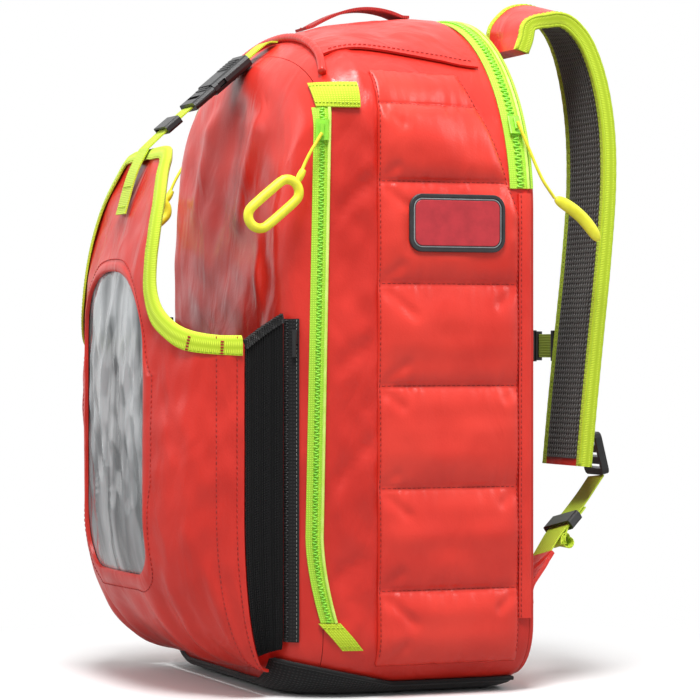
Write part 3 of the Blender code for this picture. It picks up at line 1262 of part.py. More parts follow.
def make_strap_hardware():
    """Ladder locks, the webbing through them, elastic keepers and the corner tabs."""
    for side, sign in SIDES:
        x = sign * STRAP_CENTRE_X
        end_y, end_z = strap_route(side)[-1]
        outer = end_y + STRAP_THICK / 2
        across = np.array([float(sign), 0, 0])
        lock_y = outer + LOCK_STAND
        lock_z = end_z + LOCK_ABOVE_END
        face = STRAP_THICK / 2 + WEBBING_THICK / 2 + GAP
        lock_up, lock_out = lock_axes()
        middle = np.array([x, lock_y, lock_z])
        above = middle + lock_up * (LOCK_HEIGHT / 2 + 2 * GAP) - lock_out * 0.0018
        below = middle - lock_up * (LOCK_HEIGHT / 2 + 4 * GAP) - lock_out * 0.0018
        hang = [(x, strap_depth_at(end_z + 0.070) + face, end_z + 0.070),
                (x, strap_depth_at(end_z + 0.052) + face + LAY, end_z + 0.052),
                (x, (outer + lock_y) / 2 + 0.004, end_z + 0.040),
                above]
        ribbon("lock_webbing_" + side, smooth_path(hang, 7), across, LOWER_WEBBING_WIDTH,
               WEBBING_THICK, "lime_webbing")
        make_ladder_lock(side, x, lock_y, lock_z)
        low = [below,
               (x * 1.03, lock_y - 0.011, lock_z - 0.036), (x * 1.12, lock_y - 0.029, lock_z - 0.052),
               (x * 1.22, lock_y - 0.047, lock_z - 0.066), (x * 1.30, lock_y - 0.062, lock_z - 0.082)]
        path = smooth_path(low, 12)
        ribbon("lower_webbing_" + side, path, across, LOWER_WEBBING_WIDTH, WEBBING_THICK, "lime_webbing")
        make_keeper(side, path, across)
        make_corner_tab(side, sign, path[-1], unit(path[-1] - path[-2]))


def lock_axes():
    """Upward and outward directions of a ladder lock at rest."""
    tilt = math.radians(LOCK_LEAN_DEG)
    return np.array([0, math.sin(tilt), math.cos(tilt)]), np.array([0, math.cos(tilt), -math.sin(tilt)])


def make_ladder_lock(side, x, y, z):
    """A ladder lock: a frame with two bars and the slots between them."""
    up, out = lock_axes()
    frame = (np.array([1.0, 0, 0]), up, out)
    lock = block("ladder_lock_" + side, (x, y, z), frame, (LOCK_WIDTH, LOCK_HEIGHT, LOCK_THICK),
                 "black_plastic", 0.004)
    for level in (0.0095, -0.0005, -0.0105):
        slot = block("slot", np.array([x, y, z]) + up * level, frame,
                     (LOWER_WEBBING_WIDTH + 0.001, LOCK_SLOT, LOCK_THICK * 3), "black_plastic")
        cut(lock, slot)
    top_bar = np.array([x, y, z]) + up * LOCK_BAR
    carry(joint_empty("joint_lock_" + side, top_bar), lock)


def make_keeper(side, path, across):
    """A black elastic keeper round the lower webbing."""
    middle = len(path) // 2
    centre = (path[middle] + path[middle + 1]) / 2
    along = unit(path[middle + 1] - path[middle])
    wide = unit(across - along * np.dot(across, along))
    out = np.cross(along, wide)
    frame = (wide, out, along)
    keeper = block("webbing_keeper_" + side, centre, frame,
                   (LOWER_WEBBING_WIDTH + 0.0060, 0.0088, KEEPER_LENGTH), "black_nylon", 0.0018)
    hole = block("hole", centre, frame, (LOWER_WEBBING_WIDTH + 0.0016, 0.0056, KEEPER_LENGTH * 2),
                 "black_nylon")
    cut(keeper, hole)
    carry(joint_empty("joint_keeper_" + side, centre), keeper)


def make_corner_tab(side, sign, end, along):
    """A red tab sewn to the back panel's lower corner, reaching out to the lower webbing."""
    half_thick = 0.0021
    seat = REAR_Y + GAP + PANEL_THICK + GAP + half_thick
    path = smooth_path([(end[0] + sign * 0.012, seat + 0.0012, end[2] - 0.038),
                        (end[0] + sign * 0.011, seat + 0.0022, end[2] - 0.024),
                        tuple(end + along * 0.011), tuple(end + along * 2 * GAP)], 6)
    section = rounded_rectangle(0.017, half_thick, 0.0012, steps=1)
    sweep("corner_tab_" + side, path, (sign, 0, 0), section, "red_tarpaulin", 50)


def make_sternum():
    """Sternum strap: a slider on each shoulder strap, webbing and a small buckle."""
    y = strap_depth_at(STERNUM_Z)
    edge = STRAP_CENTRE_X - STRAP_WIDTH / 2
    frame = (np.array([1.0, 0, 0]), np.array([0, 1.0, 0]), np.array([0, 0, 1.0]))
    slider_wide = STERNUM_SLIDER[0]
    inner = edge - slider_wide - 2 * GAP
    for side, sign in SIDES:
        slider = block("sternum_slider_" + side, (sign * (edge - GAP - slider_wide / 2), y, STERNUM_Z),
                       frame, STERNUM_SLIDER, "black_plastic", 0.002)
        path = [(sign * inner, y, STERNUM_Z), (sign * (STERNUM_BUCKLE_HALF + GAP), y, STERNUM_Z)]
        webbing = ribbon("sternum_webbing_" + side, path, (0, 0, 1), STERNUM_WIDTH, WEBBING_THICK,
                         "lime_webbing")
        runner = joint_empty("joint_sternum_" + side, (sign * edge, y, STERNUM_Z))
        carry(runner, slider, webbing)
        if side == "left":
            long = 0.030
            socket = block("sternum_socket", (long / 2 - STERNUM_BUCKLE_HALF, y, STERNUM_Z), frame,
                           (long, 0.0085, 0.027), "black_plastic", 0.0025)
            cut(socket, block("mouth", (0.004, y, STERNUM_Z), frame, (0.022, 0.0050, 0.021),
                              "black_plastic"))
            carry(runner, socket)
        else:
            long = 0.0115
            plug = block("sternum_plug", (STERNUM_BUCKLE_HALF - long / 2, y, STERNUM_Z), frame,
                         (long, 0.0070, 0.025), "black_plastic", 0.002)
            cut(plug, block("tongue", (0.0045, y, STERNUM_Z), frame, (0.012, 0.0042, 0.0195),
                            "black_plastic"), "UNION")
            carry(joint_empty("joint_sternum_release", (0.01, y, STERNUM_Z), runner), plug)


# ---------------------------------------------------------------- assembly
HARNESS_JOINTS = ("joint_lock_", "joint_keeper_", "joint_sternum_")


def hang_sleeve():
    """Put the sleeve on its fold line and the buckle's plug on its slide."""
    fold = joint_empty("joint_sleeve_fold", (0.0, SLEEVE_REAR_Y, SLEEVE_BOTTOM_Z))
    names = ("sleeve_front", "sleeve_window", "sleeve_binding", "sleeve_gusset_right", "sleeve_gusset_left",
             "closure_webbing_lower", "closure_keeper")
    carry(fold, *[bpy.data.objects[name] for name in names])
    start, _, along, _, _ = closure_frame()
    mouth = start + along * (BUCKLE_START + SOCKET_LENGTH)
    carry(joint_empty("joint_buckle_release", mouth, fold), bpy.data.objects["buckle_plug"])


def hang_harness():
    """Put the back panel and all that is sewn to it on the line where the panel folds open."""
    low = float(bottom_height(np.array(REAR_Y)))
    fold = joint_empty("joint_main_opening", (0.0, REAR_Y + GAP / 2, low))
    names = ["back_panel", "frame_sheet", "panel_zip_tape", "back_pad"]
    for side, _ in SIDES:
        names += ["shoulder_pad_" + side, "lock_webbing_" + side, "lower_webbing_" + side,
                  "corner_tab_" + side]
    carry(fold, *[bpy.data.objects[name] for name in names])
    for item in list(bpy.data.objects):
        if item.parent is None and item.name.startswith(HARNESS_JOINTS):
            item.parent = fold
            item.location = np.array(item.location) - world_place(fold)


def build():
    clear_scene()
    make_rear_shell()
    make_front_shell()
    make_boot()
    make_quilts()
    make_top_panel()
    make_hood_piping()
    make_grab_handle()
    make_side_zips()
    make_zip_tabs()
    make_side_sliders()
    make_rear_zip()
    make_rear_flaps()
    make_rear_slider()
    make_badge()
    make_sleeve_zips()
    make_sleeve_sliders()
    make_sleeve_front()
    make_window()
    make_binding()
    make_gussets()
    make_closure()
    make_back_panel()
    make_panel_zip()
    make_back_pad()
    make_shoulder_straps()
    make_strap_hardware()
    make_sternum()
    hang_sleeve()
    hang_harness()


build()
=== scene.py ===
"""Looks of the trauma backpack: cloth, webbing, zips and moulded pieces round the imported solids.

Metres, +Z up, in the pack's own frame: the sleeve faces -Y, the harness +Y, the patch +X.
"""
import json
import math

import bmesh
import bpy
import numpy as np
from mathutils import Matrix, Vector


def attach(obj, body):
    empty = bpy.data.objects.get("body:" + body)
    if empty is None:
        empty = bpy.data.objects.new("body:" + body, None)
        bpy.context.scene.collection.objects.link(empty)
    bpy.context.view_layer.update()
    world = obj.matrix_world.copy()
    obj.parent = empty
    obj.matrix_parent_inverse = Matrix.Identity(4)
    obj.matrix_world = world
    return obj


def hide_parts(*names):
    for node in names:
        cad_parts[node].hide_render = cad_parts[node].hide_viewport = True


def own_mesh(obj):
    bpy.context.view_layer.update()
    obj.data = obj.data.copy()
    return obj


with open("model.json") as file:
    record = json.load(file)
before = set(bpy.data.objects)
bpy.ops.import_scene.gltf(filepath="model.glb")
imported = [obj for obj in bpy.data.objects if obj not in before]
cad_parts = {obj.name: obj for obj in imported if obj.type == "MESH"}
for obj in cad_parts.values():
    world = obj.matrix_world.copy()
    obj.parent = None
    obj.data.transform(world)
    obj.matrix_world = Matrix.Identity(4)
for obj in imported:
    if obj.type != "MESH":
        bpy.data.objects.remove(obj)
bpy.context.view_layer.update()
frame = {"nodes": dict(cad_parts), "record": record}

# ---------------------------------------------------------------- sizes, as in the solids
GAP = 0.0004
LAY = 0.0006
PACK_HEIGHT = 0.553
PACK_HALF_WIDTH = 0.165
REAR_Y = 0.104
FRONT_Y = -0.100
FRONT_HALF_WIDTH = 0.118
FRONT_DROP = 0.058
NOSE_START_Y = -0.020
FRONT_LEAN = 0.015
FRONT_LEAN_Z = (0.36, 0.52)
TOP_SLOPE = 0.017
FRONT_ARCH_RISE = 0.063
CORNER_RADIUS = 0.045
FRONT_LIFT = 0.016
REAR_LIFT = 0.006
FACE_CROWN = 0.004
SHELL_WALL = 0.003
SPLIT_Y = -0.070
BOOT_THICK = 0.003
BOOT_SIDE_HEIGHT = 0.012
BOOT_FRONT_HEIGHT = 0.031
BOTTOM_Z = BOOT_THICK + LAY
QUILT_FRONT_Y = -0.028
QUILT_REAR_Y = 0.093
QUILT_REAR_SWEEP = 0.030
QUILT_SWEEP_Z = (0.383, 0.475)
QUILT_SEAMS = (0.026, 0.085, 0.166, 0.247, 0.328, 0.409, 0.470, 0.497)
QUILT_EDGE = 0.0022
QUILT_PUFF = 0.0060
TOP_PANEL_THICK = 0.0020
TOP_PANEL_REAR_Y = 0.080
TOP_PANEL_REACH = 0.50
HOOD_PIPING_RADIUS = 0.0035
HOOD_PIPING_Y = -0.049
HOOD_PIPING_SWEEP = 0.013
HOOD_REACH = 0.66
HANDLE_Y = (-0.030, 0.064)
HANDLE_WIDTH = 0.025
HANDLE_THICK = 0.0030
HANDLE_RISE = 0.0090
TAPE_THICK = 0.0010
TAPE_WIDTH = 0.0125
COIL_HEIGHT = 0.0014
COIL_WIDTH = 0.0045
COIL_PITCH = 0.0021         # drawn a little coarser than a number 8 coil, so that it shows
SIDE_ZIP_Y = (-0.0755, -0.0700)
SIDE_ZIP_STRAIGHT_Z = (0.130, 0.456)
SIDE_ZIP_BOTTOM_Z = 0.0605
SIDE_ZIP_TOP_Z = 0.466
SIDE_ZIP_BOTTOM_SWEEP = 0.0115
END_TAB_SLANT = 0.85
END_TAB_HEIGHT = 0.021
END_TAB_WIDTH = 0.016
GARAGE_HEIGHT = 0.019
GARAGE_WIDTH = 0.031
GARAGE_Y = -0.0575
REAR_ZIP_WIDTH = 0.0170
REAR_ZIP_COIL_WIDTH = 0.0065
REAR_ZIP_LOW_Z = 0.405
REAR_FLAP_LOW_Z = 0.060
WEBBING_THICK = 0.0016
PANEL_THICK = 0.004
SLEEVE_REAR_Y = -0.1050
SLEEVE_ZIP_Y = -0.0940
SLEEVE_HALF_WIDTH = 0.145
SLEEVE_GUSSET_DEPTH = 0.028
SLEEVE_BULGE = 0.067
SLEEVE_BOTTOM_Z = 0.0205
SLEEVE_BOTTOM_NARROWING = 0.020
SLEEVE_FULL_Z = 0.150
SLEEVE_SHOULDER_Z = 0.281
SLEEVE_TOP_Z = 0.438
SLEEVE_ROW = 0.10
SLEEVE_WALL = 0.0022
SLEEVE_PLAN_POWER = 2.6
SLEEVE_BOTTOM_POWER = 2.1
FLAP_TOP_HALF_WIDTH = 0.056
FLAP_NECK_HALF_WIDTH = 0.086
FLAP_LEAN_Z = 0.30
FLAP_LEAN = 0.036
WINDOW_HALF_WIDTH = 0.078
WINDOW_BOTTOM_Z = 0.094
WINDOW_TOP_Z = 0.340
WINDOW_CORNER = 0.030
WINDOW_ARCH = 0.062
WINDOW_SHEET = 0.0006
WINDOW_HEM = 0.009
GUSSET_THICK = 0.0016
GUSSET_TOP_Z = 0.300
BINDING_THICK = 0.0014
BINDING_LEG = 0.0088
BINDING_EASE = 0.0014
CLOSURE_WIDTH = 0.025
BUCKLE_START = 0.036
SOCKET_LENGTH = 0.040
PLUG_STOCK_LENGTH = 0.022
SLEEVE_GIRTH = 0.200         # half of the sleeve's girth, to turn its turns into metres
SHEET_MIDDLE = np.array([0.0, 1.9])         # share of the half turn across, and row
SEAM_HEIGHT = 0.0011                        # a quilt's cloth over its seams
STUFFING = 0.0016                           # how far a quilt's cushions stand over the solid's
ZIP_PIPING_RADIUS = 0.0013
EDGE_BINDING_RADIUS = 0.0018
PAD_PIPING_RADIUS = 0.0017
STRAP_PIPING_RADIUS = 0.0015
STITCH_PITCH = 0.0042
STITCH_SHARE = 0.66                         # share of the pitch that a stitch takes
THREAD_RADIUS = 0.00045
SHELL_CREASES = ((0.42, 0.37, 0.0020), (0.29, 0.25, 0.0016), (0.21, 0.16, 0.0022),
                 (0.12, 0.09, 0.0018))      # rear height, front height and depth of each
FRONT_FOLDS = (((0.09, 0.50), (0.02, 0.36), 0.016, 0.0050),
               ((0.03, 0.52), (-0.04, 0.34), 0.018, -0.0050),
               ((-0.03, 0.52), (-0.085, 0.36), 0.014, 0.0040),
               ((0.105, 0.40), (0.090, 0.18), 0.010, -0.0030),
               ((0.085, 0.36), (0.108, 0.25), 0.008, 0.0028),
               ((0.112, 0.33), (0.092, 0.13), 0.007, 0.0022))      # start, end, width and height
CLOSURE_START = (0.0, -0.0545, 0.5395)
CLOSURE_END = (0.0, -0.170, 0.4415)
BADGE_Y = 0.036
BADGE_Z = 0.376
BADGE_HALF = (0.0415, 0.023)
BADGE_CORNER = 0.011
BADGE_BEVEL = 0.0004
REAR_ZIP_COIL_INSET = 0.0050
SIDE_SLIDER_Z = 0.4485
SLIDER_PLATE = 0.0016
SLIDER_BRIDGE = 0.0028
REAR_SLIDER_PLATE = 0.0024
PULL_EYE = 0.0016
PULL_CORD_RADIUS = 0.0013
SIDE_CORD_LENGTH = 0.046
SIDE_CORD_DEG = (28.0, 50.0)                # how far the cord and the ring lean forward of upright
RING_HALF_LENGTH = 0.0245
RING_HALF_WIDTH = 0.0098
RING_RADIUS = 0.0038
REAR_PULL_DEG = 66.0
BACK_PAD_HALF_WIDTH = 0.132
BACK_PAD_BOTTOM_Z = 0.115
BACK_PAD_TOP_Z = 0.493
BACK_PAD_THICK = 0.013
BACK_PAD_EDGE = 0.0022
BACK_PAD_CORNER = 0.050
BACK_PAD_CHANNELS_X = (-0.036, 0.036)       # the upright channels
BACK_PAD_CHANNELS_Z = (0.205, 0.300, 0.395)  # the level ones, outside those
BACK_PAD_CHANNEL_WIDTH = 0.0042
STRAP_WIDTH = 0.070
STRAP_THICK = 0.012
STRAP_X = 0.095
LOWER_WEBBING_WIDTH = 0.025
LOCK_REACH = 0.0185                         # a ladder lock's middle out from the strap's face
LOCK_RISE = 0.010                           # and up from the strap's end
LOCK_HALF_HEIGHT = 0.018
LOCK_TILT_DEG = -14.0
STERNUM_Z = 0.279
STERNUM_WIDTH = 0.020
STERNUM_BUCKLE_HALF = 0.021
STERNUM_SLIDER_REACH = 0.008
LAMPS = (("key_softbox", (1.05, -0.45, 1.95), (0.05, 0, 0.40), 35.0, 0.7),
         ("top_softbox", (0.35, -0.15, 2.4), (0.05, 0, 0.45), 27.0, 0.6),
         ("front_softbox", (-0.6, -2.2, 1.3), (0, 0, 0.28), 16.0, 1.0),
         ("rear_softbox", (0.9, 1.9, 1.6), (0, 0.1, 0.35), 14.0, 1.0))
FLOOR_FADE = (0.16, 0.52)                   # metres from the middle of the pack
WORLD_LEVEL = 0.34
CAMERA_AZIMUTH = 68.0
CAMERA_DISTANCE = 2.45
CAMERA_LENS = 149.1
AIM = Vector((0.0051, 0.0127, 0.2754))
SIDES = (("right", 1), ("left", -1))


# ---------------------------------------------------------------- materials
def linear(code):
    """A linear RGBA colour from an sRGB hex code."""
    parts = [int(code[k:k + 2], 16) / 255 for k in (1, 3, 5)]
    return (*[c / 12.92 if c <= 0.04045 else ((c + 0.055) / 1.055) ** 2.4 for c in parts], 1.0)


def add_node(tree, kind, links=None, inputs=None, **settings):
    """A new node with its settings, its input values and its links."""
    made = tree.nodes.new(kind)
    for name, value in settings.items():
        setattr(made, name, value)
    for key, value in (inputs or {}).items():
        made.inputs[key].default_value = value
    for key, socket in (links or {}).items():
        tree.links.new(socket, made.inputs[key])
    return made


def band_scale(pitch):
    """The scale at which a wave texture's bands repeat at this pitch in metres."""
    return 2 * math.pi / 20 / pitch


def start_material(name, roughness, **sockets):
    """A Principled material with its constant sockets set; returns it, its tree and its shader."""
    made = bpy.data.materials.new(name)
    made.use_nodes = True
    shader = made.node_tree.nodes["Principled BSDF"]
    shader.inputs["Roughness"].default_value = roughness
    for key, value in sockets.items():
        shader.inputs[key.replace("_", " ")].default_value = value
    return made, made.node_tree, shader


def mottle(tree, shader, coords, light, dark, size, soft=(0.35, 0.65)):
    """Base colour that drifts between two shades over patches of the given size."""
    noise = add_node(tree, "ShaderNodeTexNoise", {"Vector": coords}, {"Scale": 1 / size, "Detail": 3.0})
    ramp = add_node(tree, "ShaderNodeMapRange", {"Value": noise.outputs["Fac"]},
                    {"From Min": soft[0], "From Max": soft[1]})
    mix = add_node(tree, "ShaderNodeMix", {"Factor": ramp.outputs["Result"]}, data_type="RGBA")
    mix.inputs["A"].default_value = linear(dark)
    mix.inputs["B"].default_value = linear(light)
    tree.links.new(mix.outputs["Result"], shader.inputs["Base Color"])
    return mix


def coated_cloth(name, light, dark, roughness=(0.36, 0.50), crease=0.0012):
    """PVC-coated polyester, calendered: a satin skin, soft creases and a faint leather grain."""
    made, tree, shader = start_material(name, 0.42, Specular_IOR_Level=0.40)
    coords = add_node(tree, "ShaderNodeTexCoord").outputs["Object"]
    mottle(tree, shader, coords, light, dark, 0.070)
    sheen = add_node(tree, "ShaderNodeTexNoise", {"Vector": coords}, {"Scale": 38.0, "Detail": 3.0})
    rough = add_node(tree, "ShaderNodeMapRange", {"Value": sheen.outputs["Fac"]},
                     {"From Min": 0.35, "From Max": 0.65, "To Min": roughness[0], "To Max": roughness[1]})
    tree.links.new(rough.outputs["Result"], shader.inputs["Roughness"])
    long_way = add_node(tree, "ShaderNodeMapping", {"Vector": coords}, {"Scale": (1.0, 1.0, 0.45)})
    folds = add_node(tree, "ShaderNodeTexNoise", {"Vector": long_way.outputs["Vector"]},
                     {"Scale": 26.0, "Detail": 2.0, "Distortion": 1.2})
    grain = add_node(tree, "ShaderNodeTexNoise", {"Vector": coords}, {"Scale": 620.0, "Detail": 2.0})
    soft = add_node(tree, "ShaderNodeBump", {"Height": folds.outputs["Fac"]}, {"Distance": crease})
    fine = add_node(tree, "ShaderNodeBump",
                    {"Height": grain.outputs["Fac"], "Normal": soft.outputs["Normal"]},
                    {"Distance": 0.00025, "Strength": 0.5})
    tree.links.new(fine.outputs["Normal"], shader.inputs["Normal"])
    return made


def woven(name, light, dark, across=0.0022, along=0.0016, depth=0.0003, roughness=0.72, sheen=0.15):
    """Woven webbing or tape: warp cords along it and weft ribs across it, read off its own metres."""
    made, tree, shader = start_material(name, roughness, Sheen_Weight=sheen, Specular_IOR_Level=0.3)
    coords = add_node(tree, "ShaderNodeAttribute", attribute_name="cloth_m").outputs["Vector"]
    warp = add_node(tree, "ShaderNodeTexWave", {"Vector": coords}, {"Scale": band_scale(across)},
                    bands_direction="X")
    weft = add_node(tree, "ShaderNodeTexWave", {"Vector": coords}, {"Scale": band_scale(along)},
                    bands_direction="Y")
    weave = add_node(tree, "ShaderNodeMath", {0: warp.outputs["Fac"], 1: weft.outputs["Fac"]},
                     operation="MULTIPLY")
    mix = add_node(tree, "ShaderNodeMix", {"Factor": weave.outputs["Value"]}, data_type="RGBA")
    mix.inputs["A"].default_value = linear(dark)
    mix.inputs["B"].default_value = linear(light)
    tree.links.new(mix.outputs["Result"], shader.inputs["Base Color"])
    bump = add_node(tree, "ShaderNodeBump", {"Height": weave.outputs["Value"]}, {"Distance": depth})
    tree.links.new(bump.outputs["Normal"], shader.inputs["Normal"])
    return made


def moulded(name, colour, dark, roughness=0.38, grain=0.0009):
    """Injection-moulded plastic or rubber: an even colour, a fine spark-eroded grain, soft gloss."""
    made, tree, shader = start_material(name, roughness, Specular_IOR_Level=0.5)
    coords = add_node(tree, "ShaderNodeTexCoord").outputs["Object"]
    mottle(tree, shader, coords, colour, dark, 0.012)
    speck = add_node(tree, "ShaderNodeTexNoise", {"Vector": coords}, {"Scale": 1 / grain, "Detail": 2.0})
    bump = add_node(tree, "ShaderNodeBump", {"Height": speck.outputs["Fac"]},
                    {"Distance": 0.0001, "Strength": 0.6})
    tree.links.new(bump.outputs["Normal"], shader.inputs["Normal"])
    return made


def spacer_mesh(name, light, dark, hole=0.0042):
    """Warp-knitted spacer mesh over foam: rows of round holes that fall back into shade."""
    made, tree, shader = start_material(name, 0.9, Sheen_Weight=0.25, Specular_IOR_Level=0.2)
    coords = add_node(tree, "ShaderNodeAttribute", attribute_name="cloth_m").outputs["Vector"]
    cells = add_node(tree, "ShaderNodeTexVoronoi", {"Vector": coords},
                     {"Scale": 1 / hole, "Randomness": 0.12}, voronoi_dimensions="2D")
    ring = add_node(tree, "ShaderNodeMapRange", {"Value": cells.outputs["Distance"]},
                    {"From Min": 0.18, "From Max": 0.42})
    mix = add_node(tree, "ShaderNodeMix", {"Factor": ring.outputs["Result"]}, data_type="RGBA")
    mix.inputs["A"].default_value = linear(dark)
    mix.inputs["B"].default_value = linear(light)
    tree.links.new(mix.outputs["Result"], shader.inputs["Base Color"])
    bump = add_node(tree, "ShaderNodeBump", {"Height": ring.outputs["Result"]}, {"Distance": 0.0010})
    tree.links.new(bump.outputs["Normal"], shader.inputs["Normal"])
    return made


def clear_vinyl(name):
    """Clear flexible PVC, calendered: milky from handling, glossy, with creases; its base colour follows
    the creases, grey in their troughs and pale grey on their crests, a painted shade and painted highlight
    along them.
    """
    made, tree, shader = start_material(name, 0.14, IOR=1.53, Transmission_Weight=0.42)
    coords = add_node(tree, "ShaderNodeTexCoord").outputs["Object"]
    upright = add_node(tree, "ShaderNodeMapping", {"Vector": coords}, {"Scale": (1.6, 1.0, 0.28)})
    # one noise for the creases' bump and for the painted shade and highlight in the base colour
    creases_and_sheen = add_node(tree, "ShaderNodeTexNoise", {"Vector": upright.outputs["Vector"]},
                     {"Scale": 22.0, "Detail": 2.5, "Distortion": 0.8})
    shade = add_node(tree, "ShaderNodeMapRange", {"Value": creases_and_sheen.outputs["Fac"]},
                     {"From Min": 0.38, "From Max": 0.60})
    # painted shade and highlight: grey in the crease troughs, pale grey on the crests
    mix = add_node(tree, "ShaderNodeMix", {"Factor": shade.outputs["Result"]}, data_type="RGBA")
    mix.inputs["A"].default_value = linear("#85898B")
    mix.inputs["B"].default_value = linear("#D8DCDE")
    tree.links.new(mix.outputs["Result"], shader.inputs["Base Color"])
    bump = add_node(tree, "ShaderNodeBump", {"Height": creases_and_sheen.outputs["Fac"]}, {"Distance": 0.0025})
    tree.links.new(bump.outputs["Normal"], shader.inputs["Normal"])
    return made


RED = coated_cloth("pvc_tarpaulin_red", "#DE3428", "#C9281D", (0.28, 0.40), 0.0021)
RED_QUILT = coated_cloth("pvc_tarpaulin_red_quilted", "#E63E30", "#D83226", (0.30, 0.42), 0.0014)
RED_WEBBING = woven("polyester_webbing_red", "#C8322D", "#8E1F1C")
LIME_WEBBING = woven("polyester_webbing_lime", "#DFF545", "#B4CE22")
LIME_BINDING = woven("grosgrain_binding_lime", "#DDF446", "#B2CC24", 0.0060, 0.0014, 0.0002)
LIME_TAPE = woven("zip_tape_lime", "#CEF454", "#A6DC3A", 0.0018, 0.0018, 0.0002)
LIME_COIL = moulded("nylon_coil_lime", "#A2EA46", "#86D834", 0.42)
LIME_EDGE = moulded("piped_edge_lime", "#DDF880", "#C8EC5C", 0.5)
YELLOW_RUBBER = moulded("tpr_rubber_yellow", "#F4F03E", "#E4DF2C", 0.46)
BLACK_NYLON = woven("ballistic_nylon_black", "#262627", "#101011", 0.0026, 0.0026, 0.0004, 0.8)
BLACK_STRETCH = woven("stretch_rib_black", "#1B1B1C", "#0C0C0D", 0.0030, 0.0020, 0.0003, 0.85, 0.0)
BLACK_ELASTIC = woven("woven_elastic_black", "#232324", "#111112", 0.0020, 0.0012, 0.0003, 0.8)
BLACK_ACETAL = moulded("acetal_black", "#222324", "#1A1A1B", 0.36)
BLACK_COIL = moulded("nylon_coil_black", "#2A2A2B", "#1A1A1B", 0.45)
MESH_BLACK = spacer_mesh("spacer_mesh_black", "#39352F", "#171512")
VINYL = clear_vinyl("clear_pvc_window")
HDPE = moulded("hdpe_sheet_grey", "#6E7173", "#606365", 0.5)
THREAD_RED = moulded("bonded_thread_red", "#B92A22", "#9A1F19", 0.6, 0.0006)
THREAD_PALE = moulded("bonded_thread_grey", "#8C8C88", "#6C6C68", 0.6, 0.0006)
THREAD_LIME = moulded("bonded_thread_lime", "#B6D02A", "#9CB41E", 0.6, 0.0006)
BADGE_BLACK = moulded("pvc_patch_black", "#2A2B2D", "#202122", 0.5)
BADGE_GREY = moulded("pvc_patch_grey", "#9A9D9F", "#8A8D8F", 0.5)
BADGE_RED = moulded("pvc_patch_red", "#C2313A", "#B02A33", 0.48, 0.0016)


# ---------------------------------------------------------------- mesh makers
def put(name, verts, face_sets, material, body, stands_for=(), cloth_m=None, sharp_deg=40.0):
    """One closed piece from vertices and arrays of faces; cloth_m is each vertex's place on the cloth."""
    mesh = bpy.data.meshes.new(name)
    verts = np.asarray(verts, np.float32).reshape(-1, 3)
    corners = np.concatenate([np.asarray(f).ravel() for f in face_sets]).astype(np.int32)
    sizes = np.concatenate([np.full(len(f), np.asarray(f).shape[1]) for f in face_sets])
    mesh.vertices.add(len(verts))
    mesh.vertices.foreach_set("co", verts.ravel())
    mesh.loops.add(len(corners))
    mesh.loops.foreach_set("vertex_index", corners)
    mesh.polygons.add(len(sizes))
    mesh.polygons.foreach_set("loop_start", np.concatenate([[0], np.cumsum(sizes)[:-1]]).astype(np.int32))
    mesh.update(calc_edges=True)
    if cloth_m is not None:
        place = np.zeros((len(verts), 3), np.float32)
        place[:, :2] = np.asarray(cloth_m).reshape(-1, 2)
        mesh.attributes.new("cloth_m", "FLOAT_VECTOR", "POINT").data.foreach_set("vector", place.ravel())
    work = bmesh.new()
    work.from_mesh(mesh)
    bmesh.ops.remove_doubles(work, verts=work.verts, dist=1e-6)
    bmesh.ops.recalc_face_normals(work, faces=work.faces)
    work.to_mesh(mesh)
    work.free()
    mesh.shade_smooth()
    mesh.set_sharp_from_angle(angle=math.radians(sharp_deg))
    piece = bpy.data.objects.new(name, mesh)
    piece.data.materials.append(material)
    bpy.context.scene.collection.objects.link(piece)
    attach(piece, body)
    if stands_for:
        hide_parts(*stands_for)
    return piece


def quads_of(rows, cols, wrap=False):
    """Quads of a grid, whose last column joins its first where wrap is set."""
    r = np.arange(rows - 1)[:, None]
    c = np.arange(cols if wrap else cols - 1)[None, :]
    n = (c + 1) % cols
    corners = [r * cols + c, r * cols + n, (r + 1) * cols + n, (r + 1) * cols + c]
    return np.stack(corners, -1).reshape(-1, 4)


def rim_quads(loop, shift):
    """Quads that join a closed loop of vertices to the same loop shifted by shift."""
    after = np.roll(loop, -1)
    return np.stack([loop, after, after + shift, loop + shift], -1)


def wall(name, inner, outer, material, body, stands_for=(), wrap=False, cap=False, cloth_m=None, **more):
    """A closed wall between two grids of points, joined round their rims or capped at the last row."""
    rows, cols = outer.shape[:2]
    shift = rows * cols
    quads = quads_of(rows, cols, wrap)
    sets = [quads, quads[:, ::-1] + shift]
    verts = np.concatenate([outer.reshape(-1, 3), inner.reshape(-1, 3)])
    last = (rows - 1) * cols + np.arange(cols)
    if wrap:
        sets.append(rim_quads(np.arange(cols), shift))
        if not cap:
            sets.append(rim_quads(last, shift))
    else:
        left = np.arange(rows) * cols
        loop = np.concatenate([np.arange(cols), left[1:] + cols - 1, last[-2::-1], left[-2:0:-1]])
        sets.append(rim_quads(loop, shift))
    places = None if cloth_m is None else np.concatenate([cloth_m.reshape(-1, 2)] * 2)
    if cap:
        poles = np.array([outer[-1].mean(axis=0), inner[-1].mean(axis=0)])
        verts = np.concatenate([verts, poles])
        after = np.roll(last, -1)
        sets.append(np.stack([last, after, np.full(cols, 2 * shift)], -1))
        sets.append(np.stack([last + shift, after + shift, np.full(cols, 2 * shift + 1)], -1))
        if places is not None:
            places = np.concatenate([places, cloth_m[-1].mean(axis=0, keepdims=True).repeat(2, axis=0)])
    return put(name, verts, sets, material, body, stands_for, places, **more)


def unit(vectors):
    """Vectors of the same directions and length 1."""
    vectors = np.asarray(vectors, float)
    return vectors / np.maximum(np.linalg.norm(vectors, axis=-1, keepdims=True), 1e-12)


def read_along(at, walked, rows, **more):
    """Rows of numbers read at places between those walked, column by column."""
    return np.column_stack([np.interp(at, walked, column, **more) for column in np.asarray(rows).T])


